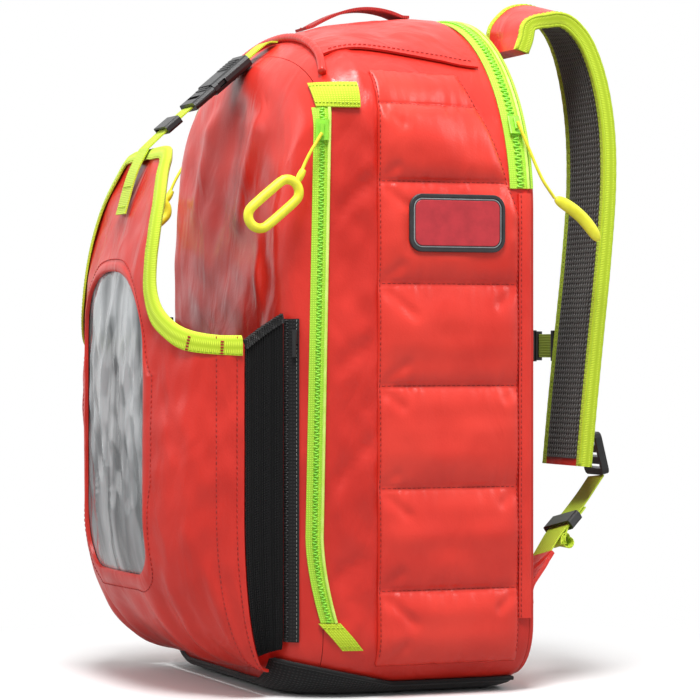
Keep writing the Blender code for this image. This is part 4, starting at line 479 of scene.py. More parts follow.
def smooth_path(points, count):
    """An even walk of count points along a Catmull-Rom curve through the given points."""
    points = np.asarray(points, float)
    ends = np.vstack([2 * points[0] - points[1], points, 2 * points[-1] - points[-2]])
    t = np.linspace(0, 1, 40, endpoint=False)[:, None]
    runs = [0.5 * (2 * b + (c - a) * t + (2 * a - 5 * b + 4 * c - d) * t ** 2
                   + (3 * b - a - 3 * c + d) * t ** 3)
            for a, b, c, d in zip(ends, ends[1:], ends[2:], ends[3:])]
    fine = np.concatenate([*runs, points[-1:]])
    walked = lengths(fine)
    return read_along(np.linspace(0, walked[-1], count), walked, fine)


def lengths(path):
    """Length walked along a path at each of its points."""
    return np.concatenate([[0], np.cumsum(np.linalg.norm(np.diff(path, axis=0), axis=1))])


def frames_on(path, across):
    """Along, across and outward unit directions at each point of a path."""
    along = unit(np.gradient(path, axis=0))
    across = np.broadcast_to(np.asarray(across, float), path.shape)
    across = unit(across - along * np.sum(across * along, axis=1, keepdims=True))
    return along, across, np.cross(along, across)


def loft(name, rings, material, body, stands_for=(), places=None, **more):
    """A closed piece through rings of equal counts, each end drawn to the middle of its ring."""
    total, count = rings.shape[:2]
    verts = np.concatenate([rings.reshape(-1, 3), [rings[0].mean(axis=0), rings[-1].mean(axis=0)]])
    first = np.arange(count)
    last = (total - 1) * count + first
    pole = total * count
    caps = [np.stack([first, np.roll(first, -1), np.full(count, pole)], -1),
            np.stack([last, np.roll(last, -1), np.full(count, pole + 1)], -1)]
    if places is not None:
        places = np.concatenate([places.reshape(-1, 2), places[[0, -1]].mean(axis=1)])
    faces = [quads_of(total, count, True), *caps]
    return put(name, verts, faces, material, body, stands_for, places, **more)


def sweep(name, path, across, section, material, body, stands_for=(), scale=None, **more):
    """A closed section carried along a path: each ring is the path's point plus the section's first
    number along the width direction and its second along the outward one; both ends are closed."""
    path = np.asarray(path, float)
    _, wide, out = frames_on(path, across)
    section = np.asarray(section, float)
    size = np.ones(len(path)) if scale is None else np.asarray(scale, float)
    rings = path[:, None] + size[:, None, None] * (section[None, :, :1] * wide[:, None]
                                                   + section[None, :, 1:] * out[:, None])
    around = lengths(np.vstack([section, section[:1]]))[:-1]
    round_cord = np.ptp(section[:, 0]) < 2 * np.ptp(section[:, 1])
    width_m = around if round_cord else section[:, 0]
    places = np.stack(np.broadcast_arrays(width_m, lengths(path)[:, None]), -1)
    return loft(name, rings, material, body, stands_for, places, **more)


def ribbon_section(width, thick, steps=10):
    """Section of flat webbing: rounded selvedges a touch thicker than the flat between them."""
    flat = np.linspace(-1, 1, steps + 1)
    swell = 1 + 0.22 * np.exp(-((np.abs(flat) - 0.93) / 0.045) ** 2)
    top = np.column_stack([flat * width / 2 * 0.985, thick / 2 * swell / 1.22])
    return np.concatenate([top, [[width / 2, 0.0]], top[::-1] * [1, -1], [[-width / 2, 0.0]]])


def circle(radius, count=14):
    """Section of a round cord."""
    turns = np.linspace(0, 2 * math.pi, count, endpoint=False)
    return radius * np.column_stack([np.cos(turns), np.sin(turns)])


def capsules(name, centres, axes, outs, length, radius, material, body, flat=1.0):
    """Many short capsules as one piece: each is a 6-sided bar along its axis with a domed end,
    radius times flat high along its outward direction."""
    centres, axes, outs = (np.asarray(v, float) for v in (centres, axes, outs))
    sides = np.cross(axes, outs)
    turns = np.linspace(0, 2 * math.pi, 6, endpoint=False)
    reach = np.array([-0.5, -0.36, 0.36, 0.5])
    fat = np.array([0.35, 1.0, 1.0, 0.35])
    ring = np.stack(np.broadcast_arrays(reach[:, None] * length, fat[:, None] * np.cos(turns) * radius,
                                        fat[:, None] * np.sin(turns) * radius * flat), -1).reshape(-1, 3)
    verts = (centres[:, None] + ring[None, :, :1] * axes[:, None] + ring[None, :, 1:2] * sides[:, None]
             + ring[None, :, 2:] * outs[:, None])
    shift = (np.arange(len(centres)) * 24)[:, None, None]
    body_quads = (quads_of(4, 6, True)[None] + shift).reshape(-1, 4)
    ends = np.array([[0, 5, 4, 3, 2, 1], [18, 19, 20, 21, 22, 23]])
    places = (verts @ np.array([[1, 0], [0, 1], [1, 1.0]])).reshape(-1, 2)
    faces = [body_quads, (ends[None] + shift).reshape(-1, 6)]
    return put(name, verts.reshape(-1, 3), faces, material, body, cloth_m=places, sharp_deg=80)


def stitches_on(path, outs, pitch):
    """Centres, axes and outward directions of even stitches along a line of thread."""
    walked = lengths(path)
    count = max(2, int(walked[-1] / pitch))
    at = (np.arange(count) + 0.5) * walked[-1] / count
    half = pitch * STITCH_SHARE / 2
    first, centre, last = (read_along(at + d, walked, path) for d in (-half, 0, half))
    out = unit(read_along(at, walked, outs))
    axis = unit(last - first)
    return centre, axis, unit(out - axis * np.sum(out * axis, axis=1, keepdims=True))


def sew(name, lines, material, body, radius=THREAD_RADIUS, pitch=STITCH_PITCH):
    """One piece of thread for several stitched lines, each a (path, outward directions) pair."""
    rows = [stitches_on(np.asarray(path), outs, pitch) for path, outs in lines]
    centres, axes, outs = (np.concatenate(part) for part in zip(*rows))
    return capsules(name, centres, axes, outs, pitch * STITCH_SHARE, radius, material, body)


def ripple(u, v, size, seed):
    """Smooth noise between -1 and 1: a sum of sines in random directions, with a seeded start."""
    random = np.random.default_rng(seed)
    total = 0.0
    weight = 0.0
    for _ in range(7):
        turn = random.uniform(0, math.pi)
        wave = size * random.uniform(0.6, 1.7)
        phase = random.uniform(0, 2 * math.pi)
        total = total + np.sin((u * math.cos(turn) + v * math.sin(turn)) * 2 * math.pi / wave + phase)
        weight += 0.62
    return total / weight


def fold_line(u, v, start, end, width):
    """A soft ridge of height 1 along a line from start to end, fading at both ends."""
    start, end = np.array(start, float), np.array(end, float)
    run = end - start
    long = np.linalg.norm(run)
    along = ((u - start[0]) * run[0] + (v - start[1]) * run[1]) / long ** 2
    off = ((u - start[0]) * run[1] - (v - start[1]) * run[0]) / long
    fade = np.clip(np.minimum(along, 1 - along) / 0.3, 0, 1)
    return np.exp(-(off / width) ** 2) * fade * fade * (3 - 2 * fade)


# ---------------------------------------------------------------- the pack's surface
def half_width(y):
    """Half width at depth y: a superellipse that rounds in towards the front."""
    t = np.clip(-y / -FRONT_Y, 0, 1)
    return FRONT_HALF_WIDTH + (PACK_HALF_WIDTH - FRONT_HALF_WIDTH) * (1 - t ** 2.1) ** (1 / 2.1)


def top_height(y):
    """Height of the ridge: a gentle fall, then a round nose into the front face."""
    fall = TOP_SLOPE * np.clip((0.05 - y) / 0.10, 0, None) ** 1.3
    t = np.clip((NOSE_START_Y - y) / (NOSE_START_Y - FRONT_Y), 0, 1)
    return PACK_HEIGHT - fall - FRONT_DROP * (1 - np.sqrt(1 - t ** 2))


def bottom_height(y):
    """Height of the underside, lifting into the front and rear faces."""
    t = np.clip((-y - 0.02) / (-FRONT_Y - 0.02), 0, 1)
    r = np.clip((y - 0.07) / (REAR_Y - 0.07), 0, 1)
    return BOTTOM_Z + FRONT_LIFT * (1 - (1 - t ** 4) ** 0.25) + REAR_LIFT * (1 - np.sqrt(1 - r ** 2))


def arch_rise(y):
    """Height of the arch: a half circle at the rear, shallower at the front."""
    t = np.clip((y - SPLIT_Y) / (REAR_Y - REAR_ZIP_WIDTH - 0.004 - SPLIT_Y), 0, 1)
    return FRONT_ARCH_RISE + (PACK_HALF_WIDTH - FRONT_ARCH_RISE) * t * t * (3 - 2 * t)


def surface(s, y):
    """Point at girth station s and depth y: |s| 0..1 underside, 1..2 corner, 2..3 side, 3..4 arch."""
    s, y = np.broadcast_arrays(np.asarray(s, float), np.asarray(y, float))
    side = np.where(s < 0, -1.0, 1.0)
    a = np.abs(s)
    w = half_width(y)
    low = bottom_height(y)
    rise = arch_rise(y)
    spring = top_height(y) - rise
    r = CORNER_RADIUS
    turn = np.clip(a - 1, 0, 1) * math.pi / 2
    lift = np.clip(a - 3, 0, 1) * math.pi / 2
    x = np.where(a <= 1, a * (w - r), np.where(a <= 2, w - r + r * np.sin(turn),
                                               np.where(a <= 3, w, w * np.cos(lift))))
    z = np.where(a <= 1, low, np.where(a <= 2, low + r - r * np.cos(turn),
                                       np.where(a <= 3, low + r + (a - 2) * (spring - low - r),
                                                spring + rise * np.sin(lift))))
    nose = np.clip((y / FRONT_Y - 0.80) / 0.20, 0, 1) ** 1.5
    lean_low, lean_high = FRONT_LEAN_Z
    back = FRONT_LEAN * nose * np.clip((z - lean_low) / (lean_high - lean_low), 0, 1) ** 1.2
    return np.stack([side * x, y + back, z], axis=-1)


def skin(s, y, lift=0.0):
    """A point lifted off the pack's surface along its outward normal."""
    s, y = np.broadcast_arrays(np.asarray(s, float), np.asarray(y, float))
    here = surface(s, y)
    ds = np.where(np.abs(s) > 3.999, -1e-3, 1e-3) * np.where(s < 0, -1, 1)
    along_s = (surface(s + ds, y) - here) / ds[..., None]
    along_y = (surface(s, y + 1e-4) - here) / 1e-4
    normal = unit(np.cross(along_s, along_y))
    middle = np.stack([np.zeros_like(y), y, np.full_like(y, PACK_HEIGHT / 2)], axis=-1)
    outward = np.sign(np.sum(normal * (here - middle), axis=-1, keepdims=True))
    return here + normal * outward * np.asarray(lift)[..., None]


def skin_normal(s, y):
    """The pack's outward direction at a girth station and depth."""
    return unit(skin(s, y, 0.01) - skin(s, y))


def girth_at(z, y):
    """The girth station of height z on the pack's side at depth y."""
    low = bottom_height(y) + CORNER_RADIUS
    rise = arch_rise(y)
    spring = top_height(y) - rise
    on_corner = 1 + np.arccos(np.clip((low - z) / CORNER_RADIUS, 0, 1)) / (math.pi / 2)
    on_side = 2 + (z - low) / (spring - low)
    on_arch = 3 + np.arcsin(np.clip((z - spring) / rise, 0, 1)) / (math.pi / 2)
    return np.where(z < low, on_corner, np.where(z < spring, on_side, on_arch))


def girth_stations(bottom=10, corner=12, side=70, arch=64):
    """Girth stations once round the pack, with even steps on each stretch."""
    stretches = [np.linspace(start, start + 1, count, endpoint=False)
                 for start, count in enumerate((bottom, corner, side))]
    half = np.concatenate([*stretches, np.linspace(3, 4, arch + 1)])
    return np.concatenate([half, -half[-2:0:-1]])


def spread(points):
    """Metres across and along a grid of points, walked along its middle row and column."""
    rows, cols = points.shape[:2]
    u = lengths(points[rows // 2])
    v = lengths(points[:, cols // 2])
    return np.stack(np.broadcast_arrays(u[None, :], v[:, None]), -1)


def side_line(sign, y, z, lift):
    """A line on the pack's side by its depths and heights, lifted off it, and its outward directions."""
    station = sign * girth_at(z, y)
    line = skin(station, y, np.full(len(z), lift))
    return line, unit(line - skin(station, y))


def step_in(value, low, high):
    """0 below low, 1 above high and a smooth rise between them."""
    t = np.clip((value - low) / (high - low), 0, 1)
    return t * t * (3 - 2 * t)


def lay_on(name, s, y, lift, material, nodes, under=LAY, **more):
    """A sheet on the pack between two lifts off its surface; returns it and its outer points."""
    outer = skin(s, y, lift)
    sheet = wall(name, skin(s, y, under), outer, material, "pack", nodes, cloth_m=spread(outer), **more)
    return sheet, outer


# ---------------------------------------------------------------- shells
def make_main_shell():
    """The ring of the main compartment; its lift is the pack's surface plus slow waves and a few
    long creases in the band between the side zip and the quilt."""
    s, y = np.meshgrid(girth_stations(), np.linspace(REAR_Y, SPLIT_Y + GAP, 64))
    plain = skin(s, y)
    z = plain[..., 2]
    band = step_in(y, SPLIT_Y + 0.004, SPLIT_Y + 0.014)
    band = band * (1 - step_in(y, QUILT_FRONT_Y - 0.006, QUILT_FRONT_Y))
    creases = 0.0022 * ripple(y * 2.2, z * 0.8, 0.09, 11) + 0.0010 * ripple(y, z, 0.03, 12)
    for rear_z, front_z, depth in SHELL_CREASES:
        creases = creases - 1.5 * depth * fold_line(y, z, (-0.070, front_z), (-0.026, rear_z), 0.006)
    lift = band * np.clip(creases, -0.0040, 0.0022) * (np.abs(s) > 1.6)
    outer = skin(s, y, lift)
    inner = skin(s, y, -SHELL_WALL + np.minimum(lift, 0))
    wall("pack_side_shell", inner, outer, RED, "pack", ["main_shell"], wrap=True, cloth_m=spread(plain))


def make_front_shell():
    """The front tray: the pack's nose, then rings drawn in to the middle of a softly crowned face."""
    nose = FRONT_Y * np.sin(np.linspace(math.asin(SPLIT_Y / FRONT_Y), math.pi / 2, 26))
    s, y = np.meshgrid(girth_stations(), nose)
    grids = []
    for lift in (-SHELL_WALL, 0.0):
        side = skin(s, y, lift)
        rim = side[-1]
        middle = np.array([0.0, rim[:, 1].min(), (BOTTOM_Z + PACK_HEIGHT) / 2])
        k = np.linspace(0.985, 0.012, 56)[:, None, None]
        face = middle + k * (rim - middle)[None]
        face[..., 1] -= FACE_CROWN * (1 - k[..., 0] ** 2)
        grids.append(np.concatenate([side, face]))
    inner, outer = grids
    x, z = outer[..., 0], outer[..., 2]
    depth_share = np.concatenate([np.linspace(0, 1, 26), np.full(56, 1.0)])[:, None]
    folds = 0.0014 * ripple(x, z * 0.6, 0.11, 21) + 0.0008 * ripple(x, z, 0.04, 22)
    for start, end, width, height in FRONT_FOLDS:
        folds = folds + height * fold_line(x, z, start, end, width)
    outer[..., 1] -= step_in(depth_share, 0.55, 1.0) * folds
    inner[..., 1] = np.maximum(inner[..., 1], outer[..., 1] + SHELL_WALL * 0.6 * depth_share)
    wall("pack_front_shell", inner, outer, RED, "pack", ["front_shell"], wrap=True, cap=True,
         cloth_m=spread(outer))


def make_boot():
    """The coated boot under the pack, turned up higher at the front."""
    nose = FRONT_Y * np.sin(np.linspace(math.asin(SPLIT_Y / FRONT_Y), math.asin(0.99), 14))
    depths = np.concatenate([np.linspace(REAR_Y - 0.006, SPLIT_Y, 40, endpoint=False), nose])
    t = (depths - depths[-1]) / (depths[0] - depths[-1])
    top = BOOT_FRONT_HEIGHT + (BOOT_SIDE_HEIGHT - BOOT_FRONT_HEIGHT) * np.clip(t * 2.2, 0, 1)
    top = np.maximum(top, bottom_height(depths) + 0.004)
    reach = girth_at(top, depths)
    share = np.linspace(0, 1, 24)
    right = share[None, :] * reach[:, None]
    s = np.concatenate([-right[:, :0:-1], right], axis=1)
    y = np.broadcast_to(depths[:, None], s.shape)
    inner = skin(s, y, LAY)
    outer = skin(s, y, LAY + BOOT_THICK)
    outer[..., 2] = np.maximum(outer[..., 2], 0.0)
    wall("boot", inner, outer, BLACK_NYLON, "pack", ["base_boot"], cloth_m=spread(outer))
    for side, column in (("right", -1), ("left", 0)):
        path = outer[:-2, column] + [0, 0, 0.0004]
        sweep("boot_binding_" + side, path, (0, 0, 1), circle(EDGE_BINDING_RADIUS, 10), BLACK_ELASTIC,
              "pack")


# ---------------------------------------------------------------- quilted sides
def cushion(t, power=2.6, root=0.62):
    """Height of a stuffed channel across its width: 0 at both seams and 1 along the middle."""
    return (1 - np.abs(2 * np.clip(t, 0, 1) - 1) ** power) ** root


def quilt_rear(z):
    """Depth of a quilt's rear edge, which sweeps forward to the top."""
    low, high = QUILT_SWEEP_Z
    return QUILT_REAR_Y - QUILT_REAR_SWEEP * np.clip((z - low) / (high - low), 0, 1.2)


def make_quilts():
    """Padded panels: on each row the lift is the seam's height plus a cushion profile up the row times
    one across it, with ripples that run out from the stitches and pulls towards the row's corners."""
    rows = [np.linspace(low, high, 30, endpoint=False) for low, high in zip(QUILT_SEAMS, QUILT_SEAMS[1:])]
    heights = np.append(np.concatenate(rows), QUILT_SEAMS[-1])
    share = np.linspace(0, 1, 96)
    z, t = np.meshgrid(heights, share, indexing="ij")
    y = QUILT_FRONT_Y + (quilt_rear(z) - QUILT_FRONT_Y) * t
    seams = np.array(QUILT_SEAMS)
    row = np.clip(np.searchsorted(seams, z, side="right") - 1, 0, len(seams) - 2)
    up = (z - seams[row]) / (seams[row + 1] - seams[row])
    full = np.where(row == len(seams) - 2, 0.35, 1.0)
    for side, sign in SIDES:
        seed = 31 if sign > 0 else 47
        near = np.minimum(up, 1 - up) * (seams[row + 1] - seams[row])
        pucker = 0.0009 * ripple(y, 0.25 * z, 0.014, seed) * np.exp(-near / 0.009)
        slack = 0.0014 * ripple(y, z, 0.055, seed + 1) + 0.0006 * ripple(y * 0.6, z, 0.024, seed + 2)
        pull = 0.0
        for k, (low, high) in enumerate(zip(QUILT_SEAMS[:-2], QUILT_SEAMS[1:-1])):
            reach = 0.030 + 0.006 * math.sin(k * 2.1 + sign)
            for start, end in (((QUILT_FRONT_Y, high), (QUILT_FRONT_Y + reach, high - reach * 0.9)),
                               ((QUILT_FRONT_Y, low), (QUILT_FRONT_Y + reach * 0.8, low + reach * 0.6)),
                               ((QUILT_REAR_Y, high), (QUILT_REAR_Y - reach * 0.7, high - reach * 0.6))):
                pull = pull + 0.0024 * fold_line(y, z, start, end, 0.0046)
        body = cushion(up, 2.0, 0.60) * cushion(t, 7.0, 0.5) * full
        crown = QUILT_EDGE + QUILT_PUFF + STUFFING - SEAM_HEIGHT
        lift = LAY + SEAM_HEIGHT + crown * body + body ** 0.6 * (slack - pull)
        lift = lift + pucker * step_in(t, 0, 0.04)
        if sign > 0:
            under = 1 - step_in(np.abs(y - BADGE_Y), 0.041, 0.053)
            under = under * (1 - step_in(np.abs(z - BADGE_Z), 0.022, 0.032))
            lift = lift - under * np.maximum(lift - (LAY + QUILT_EDGE + QUILT_PUFF - 0.0003), 0)
        lift = np.maximum(lift, LAY + 0.0009)
        s = sign * girth_at(z, y)
        quilt, outer = lay_on("quilt_" + side, s, y, lift, RED_QUILT, ["side_quilt_" + side], LAY * 1.3,
                              sharp_deg=180)
        normal = skin_normal(s, y)
        lines = []
        for seam in QUILT_SEAMS[1:-1]:
            k = int(np.argmin(np.abs(heights - seam)))
            lines.append((outer[k, 2:-2] + 0.0001 * normal[k, 2:-2], normal[k, 2:-2]))
        for column in (1, -2):
            lines.append((outer[4:-4, column] + 0.0003 * normal[4:-4, column], normal[4:-4, column]))
        sew("quilt_stitching_" + side, lines, THREAD_RED, "pack")


# ---------------------------------------------------------------- hood and handle
def hood_line(s):
    """Depth of the hood's rim, which sweeps forward down the sides."""
    return HOOD_PIPING_Y - HOOD_PIPING_SWEEP * ((4 - np.abs(s)) / HOOD_REACH) ** 2.2


def across_ridge(reach, count):
    """Girth stations over the ridge, from one side to the other."""
    share = np.linspace(-1, 1, count)
    return np.where(share < 0, -1, 1) * (4 - np.abs(share) * reach)


def make_hood():
    """The smooth panel over the ridge and the corded rim in front of it."""
    s = across_ridge(TOP_PANEL_REACH, 121)
    front = hood_line(s) + HOOD_PIPING_RADIUS - GAP
    t = np.linspace(0, 1, 64)[:, None]
    y = front[None, :] + (TOP_PANEL_REAR_Y - front[None, :]) * t
    s = np.broadcast_to(s[None, :], y.shape)
    edge = np.minimum(np.minimum(t, 1 - t) * 6, 1) * np.minimum(np.minimum(1, (np.abs(s) - 3.5) * 8), 1)
    wave = 0.0009 * ripple(s * 0.26, y, 0.06, 61) + 0.0004 * ripple(s * 0.26, y, 0.02, 62)
    lift = 2 * LAY + TOP_PANEL_THICK + edge * np.clip(wave, -0.0012, 0.0012)
    _, outer = lay_on("hood_panel", s, y, lift, RED, ["top_panel"], 2 * LAY)
    lines = []
    for column in (3, -4):
        line = outer[2:-2, column]
        away = unit(line - [0, 0, 0.30])
        lines.append((line + away * 0.0003, away))
    sew("hood_stitching", lines, THREAD_RED, "pack")
    s = across_ridge(HOOD_REACH, 141)
    path = skin(s, hood_line(s), HOOD_PIPING_RADIUS + GAP)
    walked = lengths(path)
    gather = 1 + 0.05 * np.sin(walked * 2 * math.pi / 0.007) * (np.abs(s) > 3.55)
    section = circle(HOOD_PIPING_RADIUS * 0.97, 16)
    sweep("hood_rim", path, (0, 1, 0), section, RED, "pack", ["hood_piping"], scale=gather, sharp_deg=180)


def make_grab_handle():
    """Folded webbing bowed over the ridge between two sewn ends."""
    seat = 2 * LAY + TOP_PANEL_THICK + GAP + HANDLE_THICK / 2
    share = np.linspace(0, 1, 70)
    y = HANDLE_Y[0] + (HANDLE_Y[1] - HANDLE_Y[0]) * share
    bow = HANDLE_RISE * np.clip(np.sin(share * math.pi) * 1.25 - 0.25, 0, 1)
    path = np.column_stack([np.zeros(70), y, skin(np.full(70, 4.0), y, np.full(70, seat))[:, 2] + bow])
    webbing = ribbon_section(HANDLE_WIDTH, HANDLE_THICK)
    sweep("handle_webbing", path, (1, 0, 0), webbing, RED_WEBBING, "pack", ["grab_handle"])
    lines = []
    for low, high in ((1, 7), (62, 68)):
        for x in (-0.008, 0.008):
            line = path[low:high] + [x, 0, HANDLE_THICK / 2]
            lines.append((line, np.tile([0.0, 0.0, 1.0], (len(line), 1))))
    sew("handle_bar_tacks", lines, THREAD_RED, "pack", pitch=0.0026)


# ---------------------------------------------------------------- zips
def side_zip_depth(z):
    """The side zip's line: straight where its slider runs, swept back below."""
    low, high = SIDE_ZIP_STRAIGHT_Z
    straight = SIDE_ZIP_Y[0] + (SIDE_ZIP_Y[1] - SIDE_ZIP_Y[0]) * (z - low) / (high - low)
    down = np.clip((low - z) / (low - SIDE_ZIP_BOTTOM_Z), 0, 1)
    below = np.clip(SIDE_ZIP_BOTTOM_Z - z, 0, None)
    return straight + SIDE_ZIP_BOTTOM_SWEEP * down ** 1.7 + END_TAB_SLANT * below


def coil(name, middle, across, outs, width, material, body, pitch=COIL_PITCH, radius=0.00085):
    """The coil's turns as short bars across the zip, leaning one way and then the other."""
    walked = lengths(middle)
    count = int(walked[-1] / pitch)
    at = (np.arange(count) + 0.5) * pitch
    centre, wide, out = (read_along(at, walked, rows) for rows in (middle, across, outs))
    wide, out = unit(wide), unit(out)
    run = unit(np.cross(out, wide))
    lean = np.where(np.arange(count) % 2, 0.18, -0.18)[:, None]
    axis = unit(wide + run * lean)
    shift = np.where(np.arange(count) % 2, 1.0, -1.0)[:, None] * width * 0.10
    return capsules(name, centre + wide * shift, axis, out, width * 0.80, radius, material, body)


def make_side_zips():
    """Tape with a raised middle, the coil on it and a piped edge along the rear of the tape."""
    z = np.linspace(SIDE_ZIP_BOTTOM_Z, SIDE_ZIP_TOP_Z, 150)
    across = np.linspace(-TAPE_WIDTH / 2, TAPE_WIDTH / 2, 13)
    zz, aa = np.meshgrid(z, across, indexing="ij")
    y = side_zip_depth(zz) + aa
    height = TAPE_THICK + 0.0005 * np.exp(-(aa / (COIL_WIDTH * 0.62)) ** 4)
    for side, sign in SIDES:
        s = sign * girth_at(zz, y)
        _, outer = lay_on("side_zip_tape_" + side, s, y, LAY + height, LIME_TAPE, ["side_zip_" + side])
        middle_y = side_zip_depth(z)
        middle, out = side_line(sign, middle_y, z, LAY + TAPE_THICK + 0.0011)
        wide = unit(outer[:, -1] - outer[:, 0])
        coil("side_zip_coil_" + side, middle, wide, out, COIL_WIDTH, LIME_COIL, "pack")
        edge, _ = side_line(sign, middle_y + TAPE_WIDTH / 2 - 0.0012, z, LAY + TAPE_THICK + 0.0009)
        sweep("side_zip_edge_" + side, edge, (0, 1, 0), circle(ZIP_PIPING_RADIUS, 10), LIME_EDGE, "pack")


def make_zip_tabs():
    """Webbing garages at the tops of the side zips and tabs at their lower ends, with their stitching."""
    garage_z = SIDE_ZIP_TOP_Z + GAP + np.linspace(0, GARAGE_HEIGHT, 14)
    tab_z = SIDE_ZIP_BOTTOM_Z - GAP - np.linspace(END_TAB_HEIGHT, 0, 14)
    plans = (("garage_", "zip_garage_", garage_z, np.full(14, GARAGE_Y), GARAGE_WIDTH),
             ("end_tab_", "zip_end_tab_", tab_z, side_zip_depth(tab_z), END_TAB_WIDTH))
    crown = 0.78 + 0.22 * np.sin(np.linspace(0, 1, 14) * math.pi)
    for side, sign in SIDES:
        for name, node, heights, depths, width in plans:
            z, a = np.meshgrid(heights, np.linspace(-width / 2, width / 2, 25), indexing="ij")
            y = depths[:, None] + a
            s = sign * girth_at(z, y)
            lift = np.broadcast_to(LAY + 2 * WEBBING_THICK * crown[:, None], y.shape)
            _, outer = lay_on(name + side, s, y, lift, LIME_WEBBING, [node + side])
            normal = skin_normal(s, y)
            lines = [(outer[k] + 0.0002 * normal[k], normal[k]) for k in (2, -3)]
            sew(name + "stitching_" + side, lines, THREAD_LIME, "pack", pitch=0.0030)


def make_rear_zip():
    """The rear zip over the arch: the shell's tape with its coil, and the panel's half beside it."""
    low = float(girth_at(REAR_ZIP_LOW_Z, REAR_Y - 0.01))
    half = np.linspace(low, 4, 90)
    stations = np.concatenate([half, -half[-2::-1]])
    rear = REAR_Y - GAP
    depth = np.linspace(rear - REAR_ZIP_WIDTH, rear, 15)
    s, y = np.meshgrid(stations, depth, indexing="ij")
    coil_y = rear - REAR_ZIP_COIL_INSET - REAR_ZIP_COIL_WIDTH / 2
    height = TAPE_THICK + 0.0005 * np.exp(-((y - coil_y) / (REAR_ZIP_COIL_WIDTH * 0.6)) ** 4)
    lay_on("rear_zip_shell_tape", s, y, LAY + height, LIME_TAPE, ["rear_zip_tape"])
    middle = skin(stations, coil_y, np.full(len(stations), LAY + TAPE_THICK + 0.0012))
    out = unit(middle - skin(stations, coil_y))
    coil("rear_zip_coil", middle, np.tile([0.0, 1.0, 0.0], (len(middle), 1)), out, REAR_ZIP_COIL_WIDTH,
         LIME_COIL, "pack", pitch=0.0024, radius=0.0010)
    fold = skin(stations, REAR_Y - 0.0016, np.full(len(stations), LAY + TAPE_THICK + 0.0009))
    sweep("rear_zip_edge", fold, (0, 1, 0), circle(ZIP_PIPING_RADIUS, 10), LIME_EDGE, "pack")
    front = REAR_Y + GAP
    depth = np.linspace(front, front + PANEL_THICK - 0.002, 4)
    s, y = np.meshgrid(stations, depth, indexing="ij")
    base, top = (skin(s, np.full_like(y, REAR_Y), LAY + h) for h in (0.0, TAPE_THICK + COIL_HEIGHT))
    base[..., 1] = y
    top[..., 1] = y
    wall("rear_zip_panel_tape", base, top, LIME_TAPE, "harness", ["panel_zip_tape"], cloth_m=spread(top))


def make_rear_flaps():
    """Flaps over the rear zip below the arch: cloth rolled over its rear edge."""
    z, t = np.meshgrid(np.linspace(REAR_FLAP_LOW_Z, REAR_ZIP_LOW_Z - 0.004, 110), np.linspace(0, 1, 14),
                       indexing="ij")
    front = QUILT_REAR_Y + LAY
    y = front + (REAR_Y - front) * t
    for side, sign in SIDES:
        s = sign * girth_at(z, y)
        roll = np.interp(t, [0, 0.5, 0.85, 1.0], [0.0, 1.0, 0.8, 0.4])
        wave = 0.0006 * ripple(z, y, 0.05, 71 if sign > 0 else 72) * np.sin(t * math.pi)
        lift = LAY + QUILT_EDGE + 0.0022 * roll + wave
        _, outer = lay_on("rear_flap_" + side, s, y, lift, RED_QUILT, ["rear_zip_flap_" + side],
                          sharp_deg=60)
        normal = skin_normal(s, y)[:, 2]
        sew("rear_flap_stitching_" + side, [(outer[:, 2] + 0.0002 * normal, normal)], THREAD_RED, "pack")


# ---------------------------------------------------------------- the sleeve's surface
def sleeve_row(z):
    """The row number of height z: 0..1 round the bottom, then one unit per SLEEVE_ROW."""
    t = np.clip((SLEEVE_FULL_Z - z) / (SLEEVE_FULL_Z - SLEEVE_BOTTOM_Z), 0, 1)
    round_part = 1 - np.arcsin(t ** (SLEEVE_BOTTOM_POWER / 2)) / (math.pi / 2)
    return np.where(z < SLEEVE_FULL_Z, round_part, 1 + (z - SLEEVE_FULL_Z) / SLEEVE_ROW)


def sleeve_section(row):
    """Height and fullness (0 at the bottom edge, 1 where the sleeve is full) of a row."""
    power = 2 / SLEEVE_BOTTOM_POWER
    angle = (1 - np.clip(row, 0, 1)) * math.pi / 2
    z = SLEEVE_FULL_Z - (SLEEVE_FULL_Z - SLEEVE_BOTTOM_Z) * np.sin(angle) ** power
    return z + np.clip(row - 1, 0, None) * SLEEVE_ROW, np.cos(angle) ** power


def sleeve_edge(row):
    """Half width, depth and height of the seam between the sleeve's front and its gusset."""
    z, full = sleeve_section(row)
    x = SLEEVE_HALF_WIDTH - SLEEVE_BOTTOM_NARROWING * (1 - full)
    return x, SLEEVE_REAR_Y - SLEEVE_GUSSET_DEPTH * full, z


def sleeve_surface(turn, row):
    """The sleeve's front: turn runs from -90 to 90 degrees across it, in radians."""
    power = 2 / SLEEVE_PLAN_POWER
    edge_x, edge_y, z = sleeve_edge(row)
    _, full = sleeve_section(row)
    across = np.sign(np.sin(turn)) * np.abs(np.sin(turn)) ** power
    bulge = np.abs(np.cos(turn)) ** power
    lean = FLAP_LEAN * np.clip((z - FLAP_LEAN_Z) / (SLEEVE_TOP_Z - FLAP_LEAN_Z), 0, 1.3) ** 2
    return np.stack([edge_x * across, edge_y - SLEEVE_BULGE * full * bulge + lean * bulge, z + 0 * bulge],
                    axis=-1)


def sleeve_point(turn, row, lift=0.0):
    """A point lifted off the sleeve's front along its outward normal."""
    turn, row = np.broadcast_arrays(np.asarray(turn, float), np.asarray(row, float))
    turn = np.clip(turn, -math.pi / 2 + 1e-4, math.pi / 2 - 1e-4)
    here = sleeve_surface(turn, row)
    step = np.where(turn > 0, -1e-3, 1e-3)
    along_turn = (sleeve_surface(turn + step, row) - here) / step[..., None]
    along_row = (sleeve_surface(turn, row + 1e-4) - here) / 1e-4
    return here + unit(np.cross(along_turn, along_row)) * np.asarray(lift)[..., None]


